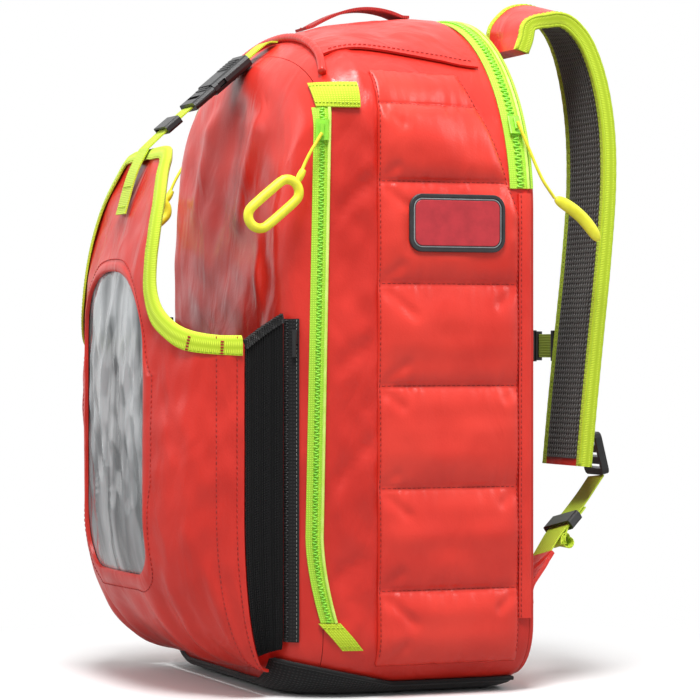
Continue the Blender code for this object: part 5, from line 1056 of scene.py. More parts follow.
def sleeve_normal(turn, row):
    """The sleeve's outward direction at a turn and row."""
    return unit(sleeve_point(turn, row, 0.01) - sleeve_point(turn, row))


def sleeve_turn_at(x, row):
    """The turn at which the sleeve's front stands at a given x."""
    edge_x, _, _ = sleeve_edge(row)
    ratio = np.clip(np.abs(x) / edge_x, 0, 1)
    return np.sign(x) * np.arcsin(ratio ** (SLEEVE_PLAN_POWER / 2))


def flap_rim(count=90):
    """Front view line of the sleeve's upper edge: from its side, over the flap, to the other."""
    shoulder = SLEEVE_SHOULDER_Z
    neck = FLAP_NECK_HALF_WIDTH
    half = [(SLEEVE_HALF_WIDTH + 0.006, shoulder),
            (SLEEVE_HALF_WIDTH - 0.018, shoulder + 0.007),
            (SLEEVE_HALF_WIDTH - 0.034, shoulder + 0.016),
            (neck + 0.012, shoulder + 0.028),
            (neck + 0.004, shoulder + 0.044),
            (neck, shoulder + 0.066),
            (neck - 0.003, shoulder + 0.088),
            (neck - 0.010, shoulder + 0.115),
            (FLAP_TOP_HALF_WIDTH + 0.006, SLEEVE_TOP_Z - 0.018),
            (FLAP_TOP_HALF_WIDTH - 0.001, SLEEVE_TOP_Z - 0.006),
            (FLAP_TOP_HALF_WIDTH - 0.014, SLEEVE_TOP_Z),
            (0.0, SLEEVE_TOP_Z)]
    walk = smooth_path(half, count)
    return np.concatenate([walk, walk[-2::-1] * np.array([-1, 1])])


def window_outline(grow=0.0):
    """Front view outline of the window, once round: rounded below, arched above."""
    half = WINDOW_HALF_WIDTH + grow
    low = WINDOW_BOTTOM_Z - grow
    high = WINDOW_TOP_Z + grow
    a = np.radians(np.linspace(-90, 0, 20))
    corner = np.column_stack([half - WINDOW_CORNER + WINDOW_CORNER * np.cos(a),
                              low + WINDOW_CORNER + WINDOW_CORNER * np.sin(a)])
    a = np.radians(np.linspace(0, 90, 60))
    arch = np.column_stack([half * np.cos(a) ** 0.8, high - WINDOW_ARCH + WINDOW_ARCH * np.sin(a)])
    side = np.linspace(corner[-1], arch[0], 30)[1:-1]
    foot = np.linspace([0.0, low], corner[0], 20)[:-1]
    right = np.concatenate([foot, corner, side, arch])
    return np.concatenate([right, right[-2:0:-1] * np.array([-1, 1])])


def to_sheet(x, z):
    """Share of the half turn across and row of a front view point of the sleeve."""
    row = sleeve_row(z)
    return np.stack([sleeve_turn_at(x, row) / (math.pi / 2), row], axis=-1)


def at_angles(loop, angles):
    """A loop of (share, row) points, read at angles about the middle of the sleeve."""
    turn = np.unwrap(loop_angles(loop))
    order = np.argsort(turn)
    return read_along(angles, turn[order], loop[order], period=2 * math.pi)


def sleeve_outer_loop(count):
    """The trimmed edge of the sleeve's front, with the angle of each of its even points."""
    rim = flap_rim()
    row = sleeve_row(rim[:, 1])
    edge_x, _, _ = sleeve_edge(row)
    keep = np.abs(rim[:, 0]) < edge_x - 0.0004
    top = to_sheet(rim[keep, 0], rim[keep, 1])
    right = np.column_stack([np.ones(90), np.linspace(0, top[0, 1] - 0.01, 90)])
    bottom = np.column_stack([np.linspace(-1, 1, 160), np.zeros(160)])
    loop = np.concatenate([bottom[:-1], right, top, (right * [-1, 1])[:0:-1]])
    metres = sleeve_point(loop[:, 0] * math.pi / 2, loop[:, 1])
    walked = lengths(np.vstack([metres, metres[:1]]))
    even = np.linspace(0, walked[-1], count, endpoint=False)
    return read_along(even, walked, np.vstack([loop, loop[:1]]))


def loop_angles(loop):
    """Angles of a loop's points about the middle of the sleeve."""
    off = loop - SHEET_MIDDLE
    return np.arctan2(off[:, 1], off[:, 0])


def sleeve_slack(share, row):
    """Lift of the sleeve's cloth: slow waves, upright folds round its bottom and hems at its edges."""
    u = share * SLEEVE_GIRTH
    z, _ = sleeve_section(row)
    waves = 0.0020 * ripple(u, z * 0.5, 0.075, 81) + 0.0008 * ripple(u, z, 0.030, 82)
    low = 1 - step_in(row, 0.55, 1.25)
    folds = 0.0032 * low * ripple(u, z * 0.22, 0.034, 83) * step_in(row, 0.02, 0.25)
    edge = step_in(np.abs(share), 0.84, 0.862) * 0.0007
    quiet = 1 - step_in(np.abs(share), 0.93, 1.0)
    return (waves + folds) * quiet + edge


def make_sleeve_front():
    """The sleeve's front as rings that run from its trimmed edge in to the window opening."""
    outer_loop = sleeve_outer_loop(520)
    angles = loop_angles(outer_loop)
    opening = window_outline()
    inner_loop = at_angles(to_sheet(opening[:, 0], opening[:, 1]), angles)
    t = np.concatenate([[0, 0.006], np.linspace(0.02, 0.90, 40), [0.92, 0.935, 0.95, 0.97, 0.99, 1.0]])
    sheet = outer_loop[None] + t[:, None, None] * (inner_loop - outer_loop)[None]
    share, row = sheet[..., 0], sheet[..., 1]
    hem = 0.0009 * (step_in(t, 0.925, 0.94) - 0.9 * step_in(t, 0.985, 1.0))[:, None]
    slack = sleeve_slack(share, row) * (1 - 0.8 * step_in(t, 0.85, 0.95))[:, None]
    slack = slack * step_in(t, 0.0, 0.05)[:, None] + hem
    outer = sleeve_point(share * math.pi / 2, row, slack)
    inner = sleeve_point(share * math.pi / 2, row, np.minimum(slack, 0) - SLEEVE_WALL)
    places = np.stack([share * SLEEVE_GIRTH, outer[..., 2]], -1)
    wall("sleeve_cloth", inner, outer, RED, "sleeve", ["sleeve_front"], wrap=True, cloth_m=places)
    ring = int(np.argmin(np.abs(t - 0.91)))
    normal = sleeve_normal(share[ring] * math.pi / 2, row[ring])
    lines = [(outer[ring] + 0.0002 * normal, normal)]
    rows = np.linspace(0.10, float(sleeve_row(SLEEVE_SHOULDER_Z + 0.006)), 240)
    for edge in (-0.972, -0.850, 0.850, 0.972):
        turn = np.full(240, edge * math.pi / 2)
        seat = sleeve_point(turn, rows, sleeve_slack(np.full(240, edge), rows) + 0.0002)
        lines.append((seat, sleeve_normal(turn, rows)))
    sew("sleeve_stitching", lines, THREAD_RED, "sleeve")


def make_window():
    """The window's clear sheet: rings drawn in from its hem, with upright waves that fade at the hem."""
    count = 360
    opening = window_outline(WINDOW_HEM - 0.001)
    loop = to_sheet(opening[:, 0], opening[:, 1])
    angles = np.linspace(-math.pi, math.pi, count, endpoint=False)
    edge = at_angles(loop, angles)
    t = np.linspace(1, 0.004, 90)
    sheet = SHEET_MIDDLE + t[:, None, None] * (edge - SHEET_MIDDLE)[None]
    share, row = sheet[..., 0], sheet[..., 1]
    z, _ = sleeve_section(row)
    u = share * SLEEVE_GIRTH
    free = 1 - step_in(t, 0.82, 0.93)[:, None]
    bend = 0.006 * np.sin(z * 31.0 + 0.6)
    waves = 0.0024 * ripple(u + bend, z * 0.16, 0.040, 91) + 0.0010 * ripple(u + bend, z * 0.3, 0.016, 92)
    sharp = 0.0020 * (1 - np.abs(ripple(u + 1.4 * bend, z * 0.12, 0.055, 93))) ** 3
    lift = -SLEEVE_WALL - LAY + free * (waves + sharp - 0.0006)
    outer = sleeve_point(share * math.pi / 2, row, lift)
    inner = sleeve_point(share * math.pi / 2, row, lift - WINDOW_SHEET)
    window = wall("window_sheet", inner, outer, VINYL, "sleeve", ["sleeve_window"], wrap=True, cap=True,
                  cloth_m=np.stack([u, z], -1), sharp_deg=180)


def rim_frame(lift=0.0):
    """Points along the trimmed edge, with its tangent, outward and inward directions."""
    rim = flap_rim(160)
    row = sleeve_row(rim[:, 1])
    edge_x, _, _ = sleeve_edge(row)
    keep = np.abs(rim[:, 0]) < edge_x - 0.0008
    rim, row = rim[keep], row[keep]
    turn = sleeve_turn_at(rim[:, 0], row)
    side = np.linspace(math.pi / 2 - 0.01, turn[0], 24)[:-1]
    turn = np.concatenate([side, turn, -side[::-1]])
    row = np.concatenate([np.full(23, row[0]), row, np.full(23, row[0])])
    plain = sleeve_point(turn, row, lift)
    points = smooth_path(plain, len(plain))
    out = unit(sleeve_point(turn, row, lift + 0.01) - plain)
    walked, even = lengths(plain), lengths(points)
    even = even * walked[-1] / even[-1]
    out = unit(read_along(even, walked, out))
    along = unit(np.gradient(points, axis=0))
    out = unit(out - along * np.sum(out * along, axis=1, keepdims=True))
    inward = np.cross(out, along)
    return points, along, out, inward * -np.sign(inward[len(inward) // 2, 2])


def make_binding():
    """Grosgrain folded over the sleeve's upper edge: a U section whose legs ripple along the rim,
    with two bar tacks on each side."""
    points, _, out, inward = rim_frame(-SLEEVE_WALL / 2)
    half = SLEEVE_WALL / 2 + BINDING_EASE * 0.7
    thick = BINDING_THICK
    web = 0.0020
    leg = BINDING_LEG + 0.0006 * ripple(lengths(points), 0 * points[:, 0], 0.018, 95)
    low = 1 - step_in(points[:, 2], SLEEVE_SHOULDER_Z + 0.012, SLEEVE_SHOULDER_Z + 0.050)
    leg = leg + 0.0030 * low
    shape = np.array([(1.0, half), (0.5, half), (0.0, half), (-1.0, half * 0.4), (-1.0, -half * 0.4),
                      (0.0, -half), (0.5, -half), (1.0, -half), (1.0, -half - thick),
                      (0.5, -half - thick * 1.1), (0.0, -half - thick), (-1.6, -half * 0.7), (-1.9, 0.0),
                      (-1.6, half * 0.7), (0.0, half + thick), (0.5, half + thick * 1.1),
                      (1.0, half + thick)])
    reach = np.where(shape[None, :, 0] > 0, shape[None, :, 0] * leg[:, None], shape[None, :, 0] * web)
    rings = points[:, None] + reach[..., None] * inward[:, None] + shape[None, :, 1:] * out[:, None]
    places = np.stack(np.broadcast_arrays(reach, lengths(points)[:, None]), -1)
    loft("binding", rings, LIME_BINDING, "sleeve", ["sleeve_binding"], places)
    walked = lengths(points)
    lines = []
    for at in (0.016, 0.040, walked[-1] - 0.040, walked[-1] - 0.016):
        k = int(np.argmin(np.abs(walked - at)))
        for shift in (-0.0008, 0.0, 0.0008):
            along = np.cross(inward[k], out[k])
            start = points[k] + out[k] * (half + thick + 0.0003) + along * shift
            line = start + inward[k] * np.linspace(0.0, leg[k], 8)[:, None]
            lines.append((line, np.tile(out[k], (8, 1))))
    sew("binding_bar_tacks", lines, THREAD_RED, "sleeve", pitch=0.0022)
    edge = points + inward * (leg - 0.0014)[:, None] + out * (half + thick + 0.0002)
    sew("binding_stitching", [(edge, out)], THREAD_LIME, "sleeve", radius=0.0003, pitch=0.0034)


def make_gussets():
    """Ribbed stretch gussets: a ruled strip from the coil on the shell to the sleeve's edge, bowed in,
    with fine upright ribs across it, and an elastic binding along its top."""
    top_row = float(sleeve_row(SLEEVE_SHOULDER_Z - 0.002))
    rows = np.concatenate([np.linspace(0.30, 1, 50, endpoint=False), np.linspace(1, top_row, 60)])
    share = np.linspace(0, 1, 97)
    for side, sign in SIDES:
        front_x, front_y, front_z = sleeve_edge(rows)
        rise = (GUSSET_TOP_Z - front_z[-1]) * (front_z - front_z[0]) / (front_z[-1] - front_z[0])
        rear_z = np.maximum(front_z + rise, 0.040)
        seat = LAY + TAPE_THICK + COIL_HEIGHT + GAP
        s = girth_at(rear_z, SLEEVE_ZIP_Y)
        y = np.full_like(rear_z, SLEEVE_ZIP_Y)
        rear = skin(s, y, np.full_like(rear_z, seat + GUSSET_THICK))
        front = np.column_stack([front_x, front_y + 3 * GAP, front_z])
        bow = 0.004 * np.sin(share * math.pi) + 0.0007 * np.sin(share * 2 * math.pi * 15)
        outer = rear[:, None, :] + (front - rear)[:, None, :] * share[None, :, None]
        outer = outer - bow[None, :, None] * np.array([1.0, 0, 0])
        inner = outer - np.array([GUSSET_THICK, 0.0, 0.0])
        flip = np.array([sign, 1, 1])
        wall("gusset_" + side, inner * flip, outer * flip, BLACK_STRETCH, "sleeve",
             ["sleeve_gusset_" + side], cloth_m=spread(outer), sharp_deg=60)
        top = (outer[-1] + [-GUSSET_THICK / 2, 0, 0.0006]) * flip
        sweep("gusset_binding_" + side, top, (0, 0, 1), ribbon_section(0.0075, 0.0034, 6), BLACK_ELASTIC,
              "sleeve")


def make_sleeve_zips():
    """Black coil zips along the front shell behind the gussets, with a row of pale stitches."""
    z = np.linspace(0.045, GUSSET_TOP_Z, 110)
    depth = SLEEVE_ZIP_Y + np.linspace(0.0080, -0.0010, 9)
    zz, y = np.meshgrid(z, depth, indexing="ij")
    for side, sign in SIDES:
        s = sign * girth_at(zz, y)
        _, outer = lay_on("sleeve_zip_tape_" + side, s, y, LAY + TAPE_THICK, BLACK_NYLON,
                          ["sleeve_zip_" + side])
        middle_y = np.full(len(z), SLEEVE_ZIP_Y + 0.0008)
        middle, out = side_line(sign, middle_y, z, LAY + TAPE_THICK + 0.0008)
        coil("sleeve_zip_coil_" + side, middle, outer[:, -1] - outer[:, 0], out, 0.0034, BLACK_COIL,
             "pack", pitch=0.0019, radius=0.0007)
        line_y = np.full(len(z), SLEEVE_ZIP_Y + 0.0066)
        line, _ = side_line(sign, line_y, z, LAY + TAPE_THICK + 0.0003)
        sew("sleeve_zip_stitching_" + side, [(line, out)], THREAD_PALE, "pack", radius=0.0003,
            pitch=0.0034)


# ---------------------------------------------------------------- closure, patch and pulls
def closure_frame():
    """Ends of the closure's straight run, and its along, across and outward directions."""
    start = np.array(CLOSURE_START)
    end = np.array(CLOSURE_END)
    along = unit(end - start)
    across = np.array([1.0, 0, 0])
    out = np.cross(across, along)
    return start, end, along, across, out if out[2] > 0 else -out


def make_closure():
    """Webbing from the hood to the buckle, and the webbing of the flap with its folded tail; ribs across
    the buckle's faces."""
    start, end, along, across, out = closure_frame()
    anchor = skin(4.0, HOOD_PIPING_Y - HOOD_PIPING_RADIUS - 3 * GAP, LAY + 1.5 * WEBBING_THICK)
    upper = smooth_path([anchor, start + along * 0.014, start + along * (BUCKLE_START + 0.004)], 40)
    ribbon = ribbon_section(CLOSURE_WIDTH, WEBBING_THICK)
    sweep("closure_upper", upper, across, ribbon, LIME_WEBBING, "pack", ["closure_webbing_upper"])
    plug_end = BUCKLE_START + SOCKET_LENGTH + GAP + PLUG_STOCK_LENGTH
    span = np.linalg.norm(end - start)
    over = BINDING_EASE + BINDING_THICK + WEBBING_THICK + GAP
    seat = sleeve_point(0.0, sleeve_row(SLEEVE_TOP_Z - 0.022), over)
    low = sleeve_point(0.0, sleeve_row(SLEEVE_TOP_Z - 0.052), WEBBING_THICK + LAY)
    bend = sleeve_point(0.0, sleeve_row(SLEEVE_TOP_Z - 0.002), over)
    lower = smooth_path([start + along * (plug_end + GAP), start + along * (plug_end + 0.010),
                         (start + along * (span - 0.012) + bend) / 2, bend, seat, low], 90)
    lead = 1 + int(np.argmax((lower - start) @ along > span - 0.010))
    sweep("closure_lower", lower[lead:], across, ribbon, LIME_WEBBING, "sleeve",
          ["closure_webbing_lower"])
    gathers = sweep("closure_lead", lower[:lead + 1], across, ribbon, LIME_WEBBING, "sleeve")
    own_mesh(gathers)
    _, _, face = frames_on(lower, across)
    face = face * np.sign(face[-5, 1]) * -1
    lines = []
    for k in (70, 84):
        line = lower[k] + face[k] * (WEBBING_THICK * 0.5 + 0.0003)
        line = line + np.linspace(-0.010, 0.010, 12)[:, None] * across
        lines.append((line, np.tile(face[k], (12, 1))))
    sew("closure_stitching", lines, THREAD_LIME, "sleeve", pitch=0.0030)
    for piece, body, first, last, level in (("buckle_socket_ribs", "pack", 0.006, 0.022, 0.00525),
                                            ("buckle_plug_ribs", "buckle_plug", 0.0415, 0.0470, 0.00378)):
        at = np.arange(first, last, 0.0032)
        seats = [start + along * (BUCKLE_START + d) + out * face_side * (level + 0.0002)
                 for d in at for face_side in (1, -1)]
        outs = [out * face_side for _ in at for face_side in (1, -1)]
        capsules(piece, seats, np.tile(across, (len(seats), 1)), outs, 0.027, 0.0009, BLACK_ACETAL, body)


def rounded_outline(half_a, half_b, radius, steps=16):
    """A rectangle with round corners, counter-clockwise, as points with even corner steps."""
    turns = np.radians(np.linspace(0, 90, steps))
    quarter = np.column_stack([np.cos(turns), np.sin(turns)]) * radius
    corners = []
    for turn, (sa, sb) in enumerate(((1, 1), (-1, 1), (-1, -1), (1, -1))):
        a = math.radians(90 * turn)
        spin = np.array([[math.cos(a), math.sin(a)], [-math.sin(a), math.cos(a)]])
        corners.append(quarter @ spin + [sa * (half_a - radius), sb * (half_b - radius)])
    return np.concatenate(corners)


def badge_outline(inset, least):
    """The patch's outline set in by an inset, with corners of a least radius."""
    return rounded_outline(BADGE_HALF[0] - inset, BADGE_HALF[1] - inset, max(BADGE_CORNER - inset, least))


def make_badge():
    """A plain moulded patch: a black base with a raised rim, a grey line and a red field."""
    level = float(half_width(np.array(BADGE_Y))) + LAY + QUILT_EDGE + QUILT_PUFF + GAP
    plans = (("badge_base", 0.0, 0.0, 0.0018, BADGE_BLACK, ["badge_patch"]),
             ("badge_rim", 0.0002, 0.0016, 0.0024, BADGE_BLACK, []),
             ("badge_line", 0.0034, 0.0016, 0.0021, BADGE_GREY, []),
             ("badge_field", 0.0050, 0.0016, 0.0022, BADGE_RED, []))
    for name, inset, low, high, material, nodes in plans:
        thin = {"badge_rim": 0.0024, "badge_line": 0.0009}.get(name)
        outline = badge_outline(inset, 0.004)
        soft = badge_outline(inset + BADGE_BEVEL, 0.0038)
        rings = [(outline, low), (outline, high - BADGE_BEVEL), (soft, high)]
        if thin:
            hole = badge_outline(inset + thin, 0.0036)
            rings += [(hole, high), (hole, low)]
        grid = np.array([np.column_stack([np.full(len(o), level + x), BADGE_Y + o[:, 0], BADGE_Z + o[:, 1]])
                         for o, x in rings])
        if thin:
            count = grid.shape[1]
            closing = rim_quads(np.arange(count), (len(grid) - 1) * count)
            put(name, grid, [quads_of(len(grid), count, True), closing], material, "pack", nodes)
        else:
            loft(name, grid, material, "pack", nodes)


def side_zip_run(sign):
    """Seat, outward and upward directions of a side zip where its slider runs."""
    low, high = SIDE_ZIP_STRAIGHT_Z
    ends = [np.array([sign * float(half_width(side_zip_depth(z))), float(side_zip_depth(z)), z])
            for z in (low, high)]
    up = unit(ends[1] - ends[0])
    seat = ends[0] + up * (SIDE_SLIDER_Z - low) / up[2]
    slope = float(half_width(seat[1] + 1e-4) - half_width(seat[1] - 1e-4)) / 2e-4
    out = unit(np.array([float(sign), -slope, 0.0]))
    return seat, unit(out - up * np.dot(out, up)), up


def make_side_pulls():
    """Moulded ring grips: a round section carried round a long oval, on a cord with a small barrel."""
    tops = LAY + TAPE_THICK + 2 * GAP + COIL_HEIGHT + GAP + SLIDER_PLATE
    for side, sign in SIDES:
        seat, out, up = side_zip_run(sign)
        start = seat + out * (tops + SLIDER_BRIDGE + PULL_EYE + GAP) - up * 0.003
        lean = [np.array([0.0, -math.sin(a), -math.cos(a)]) for a in np.radians(SIDE_CORD_DEG)]
        knot = start + lean[0] * SIDE_CORD_LENGTH
        direction = lean[1]
        side_way = np.array([1.0, 0.0, 0.0])
        wide = np.cross(direction, side_way)
        turns = np.linspace(0, 2 * math.pi, 96, endpoint=False)
        long = RING_HALF_WIDTH * np.cos(turns)
        long = long + np.tanh(np.cos(turns) * 6) * (RING_HALF_LENGTH - RING_HALF_WIDTH)
        path = knot + direction * (RING_HALF_LENGTH + long)[:, None]
        path = path + wide * RING_HALF_WIDTH * np.sin(turns)[:, None]
        tangent = unit(np.roll(path, -1, axis=0) - np.roll(path, 1, axis=0))
        away = np.cross(tangent, side_way)
        wheel = circle(RING_RADIUS, 20)
        rings = path[:, None] + wheel[None, :, :1] * away[:, None] + wheel[None, :, 1:] * side_way
        count = len(wheel)
        quads = quads_of(97, count, True) % (96 * count)
        ring = put("ring_grip_" + side, rings, [quads], YELLOW_RUBBER, "side_pull_" + side,
                   ["side_zip_pull_" + side])
        cord = smooth_path([start, (start + knot) / 2 + wide * 0.0015, knot], 40)
        line = sweep("grip_cord_" + side, cord, side_way, circle(PULL_CORD_RADIUS, 12), YELLOW_RUBBER,
                     "side_pull_" + side)
        barrel = smooth_path([knot - lean[0] * 0.013, knot - lean[0] * 0.003], 16)
        swell = 1 + 0.25 * np.sin(np.linspace(0, math.pi, 16))
        sleeve = sweep("grip_barrel_" + side, barrel, side_way, circle(0.0024, 14), YELLOW_RUBBER,
                       "side_pull_" + side, scale=swell)


def make_rear_pull():
    """The rear zip's pull: a thin cord and a flattened, slightly bent grip with rounded ends."""
    lean = math.radians(REAR_PULL_DEG)
    out = np.array([math.sin(lean), 0.0, math.cos(lean)])
    spring_z = float(top_height(REAR_Y) - arch_rise(REAR_Y))
    coil_y = REAR_Y - GAP - REAR_ZIP_COIL_INSET - REAR_ZIP_COIL_WIDTH / 2
    seat = np.array([0, coil_y, spring_z]) + out * PACK_HALF_WIDTH
    tops = LAY + TAPE_THICK + COIL_HEIGHT + 2 * GAP + REAR_SLIDER_PLATE
    eye = seat + out * (tops + SLIDER_BRIDGE + PULL_EYE + 2 * GAP)
    steps = ((0.0, 0.0, 0.0), (0.0060, 0.008, -0.024), (0.0095, 0.017, -0.046), (0.0105, 0.028, -0.062))
    points = [eye + np.array(step) for step in steps]
    cord = smooth_path(points, 60)
    sweep("rear_pull_cord", cord, (1, 0, 0), circle(PULL_CORD_RADIUS, 12), YELLOW_RUBBER, "rear_pull")
    reach = np.array((0.0, 0.0400, -0.0340))
    share = np.linspace(0, 1, 60)
    bend = np.sin(share * math.pi)[:, None] * np.array([0, 0.003, 0.003])
    grip = points[-1] + reach * share[:, None] + bend
    swell = np.clip(1 - np.abs(2 * share - 1) ** 5, 0.0, 1) ** 0.5 * 0.97 + 0.03
    section = circle(0.0052, 24) * [0.62, 1.0]
    sweep("rear_pull_grip", grip, (1, 0, 0), section, YELLOW_RUBBER, "rear_pull", ["rear_zip_pull"],
          scale=swell)
    for piece in ("rear_pull_cord", "rear_pull_grip"):
        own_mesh(bpy.data.objects[piece])


# ---------------------------------------------------------------- back panel and harness
def panel_ring(y, inset):
    """The pack's rear outline set in by an inset, at a depth."""
    points = skin(girth_stations(), REAR_Y, np.full(len(girth_stations()), -inset))
    points[:, 1] = y
    return points


def make_back_panel():
    """The panel that the harness is sewn to, with a rounded edge and a line of stitches inside it."""
    front = REAR_Y + GAP
    back = front + PANEL_THICK
    rounds = ((-0.0020, 0.0002), (-0.0011, 0.0004), (-0.0004, 0.0010), (0.0, 0.0020), (0.0, 0.0075),
              (-0.0005, 0.0085), (0.0, 0.0100), (0.0, 0.020))
    rings = [panel_ring(front, 0.0002)] + [panel_ring(back + depth, inset) for depth, inset in rounds]
    loft("panel_cloth", np.array(rings), RED, "harness", ["back_panel"])
    line = panel_ring(back + 0.0001, 0.0087)
    sew("panel_stitching", [(line, np.tile([0.0, 1.0, 0.0], (len(line), 1)))], THREAD_RED, "harness")


def make_back_pad():
    """The mesh back: foam under spacer mesh, whose thickness rounds off towards its outline and is
    drawn down along two upright channels and three level ones."""
    front = REAR_Y + GAP + PANEL_THICK + GAP
    z = np.linspace(BACK_PAD_BOTTOM_Z, BACK_PAD_TOP_Z, 200)
    middle = (BACK_PAD_BOTTOM_Z + BACK_PAD_TOP_Z) / 2
    half = (BACK_PAD_TOP_Z - BACK_PAD_BOTTOM_Z) / 2
    over = np.clip(np.abs(z - middle) - (half - BACK_PAD_CORNER), 0, BACK_PAD_CORNER)
    arc = np.sqrt(np.maximum(BACK_PAD_CORNER ** 2 - over ** 2, 0))
    plain = BACK_PAD_HALF_WIDTH - BACK_PAD_CORNER + arc
    taper = 1 - 0.26 * np.clip(((z - middle) / half - 0.25) / 0.75, 0, 1) ** 1.6
    width = plain * taper
    share = np.sin(np.linspace(-1, 1, 150) * math.pi / 2 * 0.999)
    x = share[None, :] * width[:, None]
    zz = np.broadcast_to(z[:, None], x.shape)
    to_side = width[:, None] - np.abs(x)
    to_end = half - np.abs(zz - middle)
    near = np.minimum(to_side, to_end)
    round_off = np.sqrt(1 - (1 - np.clip(near / 0.016, 0, 1)) ** 2)
    channels = 0.0
    for at in BACK_PAD_CHANNELS_X:
        channels = np.maximum(channels, np.exp(-((x - at) / BACK_PAD_CHANNEL_WIDTH) ** 2))
    for at in BACK_PAD_CHANNELS_Z:
        level = np.exp(-((zz - at) / BACK_PAD_CHANNEL_WIDTH) ** 2)
        channels = np.maximum(channels, level * (np.abs(x) > 0.034))
    puff = 0.0008 * ripple(x, zz, 0.05, 97)
    full = BACK_PAD_THICK - BACK_PAD_EDGE
    thick = BACK_PAD_EDGE + full * round_off * (1 - 0.62 * channels) + puff * round_off
    outer = np.stack([x, front + thick, zz], -1)
    inner = np.stack([x, np.full_like(x, front), zz], -1)
    pad = wall("back_mesh_pad", inner, outer, MESH_BLACK, "harness", ["back_pad"],
               cloth_m=np.stack([x, zz], -1), sharp_deg=70)
    rim = np.concatenate([outer[0, ::3], outer[::3, -1], outer[-1, ::-3], outer[::-3, 0]])
    rim[:, 1] = front + 0.0019
    rim = smooth_path(np.vstack([rim[::4], rim[:1]]), 420)
    sweep("back_pad_piping", rim, (0, 1, 0), circle(PAD_PIPING_RADIUS, 10), BLACK_ELASTIC, "harness")


def strap_route(side):
    """Depth and height of a shoulder strap's mid line; the left strap lies lower at the top."""
    foot = REAR_Y + 2 * GAP + PANEL_THICK + STRAP_THICK / 2
    if side == "right":
        return [(foot, 0.520), (foot + 0.004, 0.532), (0.1225, 0.5440), (0.1400, 0.5535), (0.1575, 0.5520),
                (0.1745, 0.5340), (0.1865, 0.5020), (0.1935, 0.4600), (0.1945, 0.4100), (0.1900, 0.3500),
                (0.1835, 0.2900), (0.1770, 0.2300), (0.1720, 0.1790)]
    return [(foot, 0.500), (foot + 0.002, 0.508), (0.1200, 0.5180), (0.1340, 0.5240), (0.1500, 0.5200),
            (0.1660, 0.5060), (0.1800, 0.4840), (0.1910, 0.4500), (0.1940, 0.4050), (0.1900, 0.3500),
            (0.1835, 0.2900), (0.1770, 0.2300), (0.1720, 0.1790)]


def strap_path(side, sign, count=150):
    """Mid line and width direction of one shoulder strap."""
    path = smooth_path([(sign * STRAP_X, y, z) for y, z in strap_route(side)], count)
    bank = math.radians(12.0) * np.clip((path[:, 2] - 0.42) / 0.10, 0, 1)
    bank = bank * np.clip((path[:, 1] - path[0, 1]) / 0.02, 0, 1)
    return path, np.column_stack([np.cos(bank) * sign, np.zeros(count), -np.sin(bank)])


def strap_depth_at(z):
    """Depth of a shoulder strap's mid line at a height below its top."""
    path, _ = strap_path("right", 1, 400)
    lower = path[path[:, 2].argmax():]
    return float(np.interp(-z, -lower[:, 2], lower[:, 1]))


def make_shoulder_straps():
    """Foam straps: red cloth with a crowned outer face, mesh on the wearer's side, and a lime band
    folded round each edge with a piped ridge along both of its borders."""
    half = STRAP_WIDTH / 2
    thick = STRAP_THICK / 2
    for side, sign in SIDES:
        path, across = strap_path(side, sign)
        away = -sign
        a = np.linspace(-1, 1, 41)
        crown = thick * (0.78 + 0.20 * np.sqrt(np.clip(1 - a ** 4, 0, 1)))
        top = np.column_stack([a * (half - 0.0020), away * crown])
        bottom = np.column_stack([a[::-1] * (half - 0.0020), -away * crown[::-1]])
        body = sweep("strap_shell_" + side, path, across, np.concatenate([top, bottom]), RED, "harness",
                     ["shoulder_pad_" + side], sharp_deg=60)
        flat = np.linspace(-1, 1, 37)
        swell = 0.0010 * np.sqrt(np.clip(1 - flat ** 6, 0, 1))
        face = np.column_stack([flat * (half - 0.0070), -away * (thick * 0.95 + swell)])
        back = np.column_stack([flat[::-1] * (half - 0.0070), np.full(37, -away * thick * 0.80)])
        section = np.concatenate([face, back])
        mesh = sweep("strap_mesh_" + side, path[2:-2], across[2:-2], section, MESH_BLACK, "harness",
                     sharp_deg=60)
        _, wide, out = frames_on(path, across)
        legs = {1: 0.0062, -1: 0.0068}
        for edge, edge_name in ((1, "outer"), (-1, "inner")):
            leg = legs[edge]
            level = [(-leg, 0.98), (-leg * 0.5, 1.0), (-0.0012, 0.96), (-0.0003, 0.80), (0.0, 0.40)]
            level = np.array(level) * [1, thick]
            mouth = [(-leg, -thick * 0.6), (-leg, thick * 0.6)]
            ring = np.concatenate([level, level[::-1] * [1, -1], mouth])
            ring = ring * [edge, 1] + [edge * half, 0]
            sweep(f"strap_band_{side}_{edge_name}", path, across, ring, LIME_BINDING, "harness",
                  sharp_deg=50)
            for face_side, face_name in ((1, "top"), (-1, "under")):
                line = path + wide * edge * (half - 0.0013) + out * face_side * (thick - 0.0012)
                bead = 1 + 0.06 * np.sin(lengths(line) * 2 * math.pi / 0.0042)
                sweep(f"strap_piping_{side}_{edge_name}_{face_name}", line, across,
                      circle(STRAP_PIPING_RADIUS, 10), LIME_BINDING, "harness", scale=bead, sharp_deg=180)
        lines = []
        for edge in (-1, 1):
            for face_side in (-1, 1):
                shift = wide * edge * (half - 0.0050) + out * face_side * (thick * 0.99 + 0.0002)
                lines.append(((path + shift)[3:-3], out[3:-3] * face_side))
        low = path[:, 1] > 0.16
        for d in (0.0, 0.0015, 0.012, 0.0135):
            k = int(np.argmin(np.abs(path[:, 2] - 0.232 - d) + ~low))
            line = path[k] + wide[k] * np.linspace(-0.011, 0.011, 14)[:, None]
            line = line + out[k] * away * (thick + 0.0024)
            lines.append((line, np.tile(out[k] * away, (14, 1))))
        sew("strap_stitching_" + side, lines, THREAD_LIME, "harness", radius=0.0004)


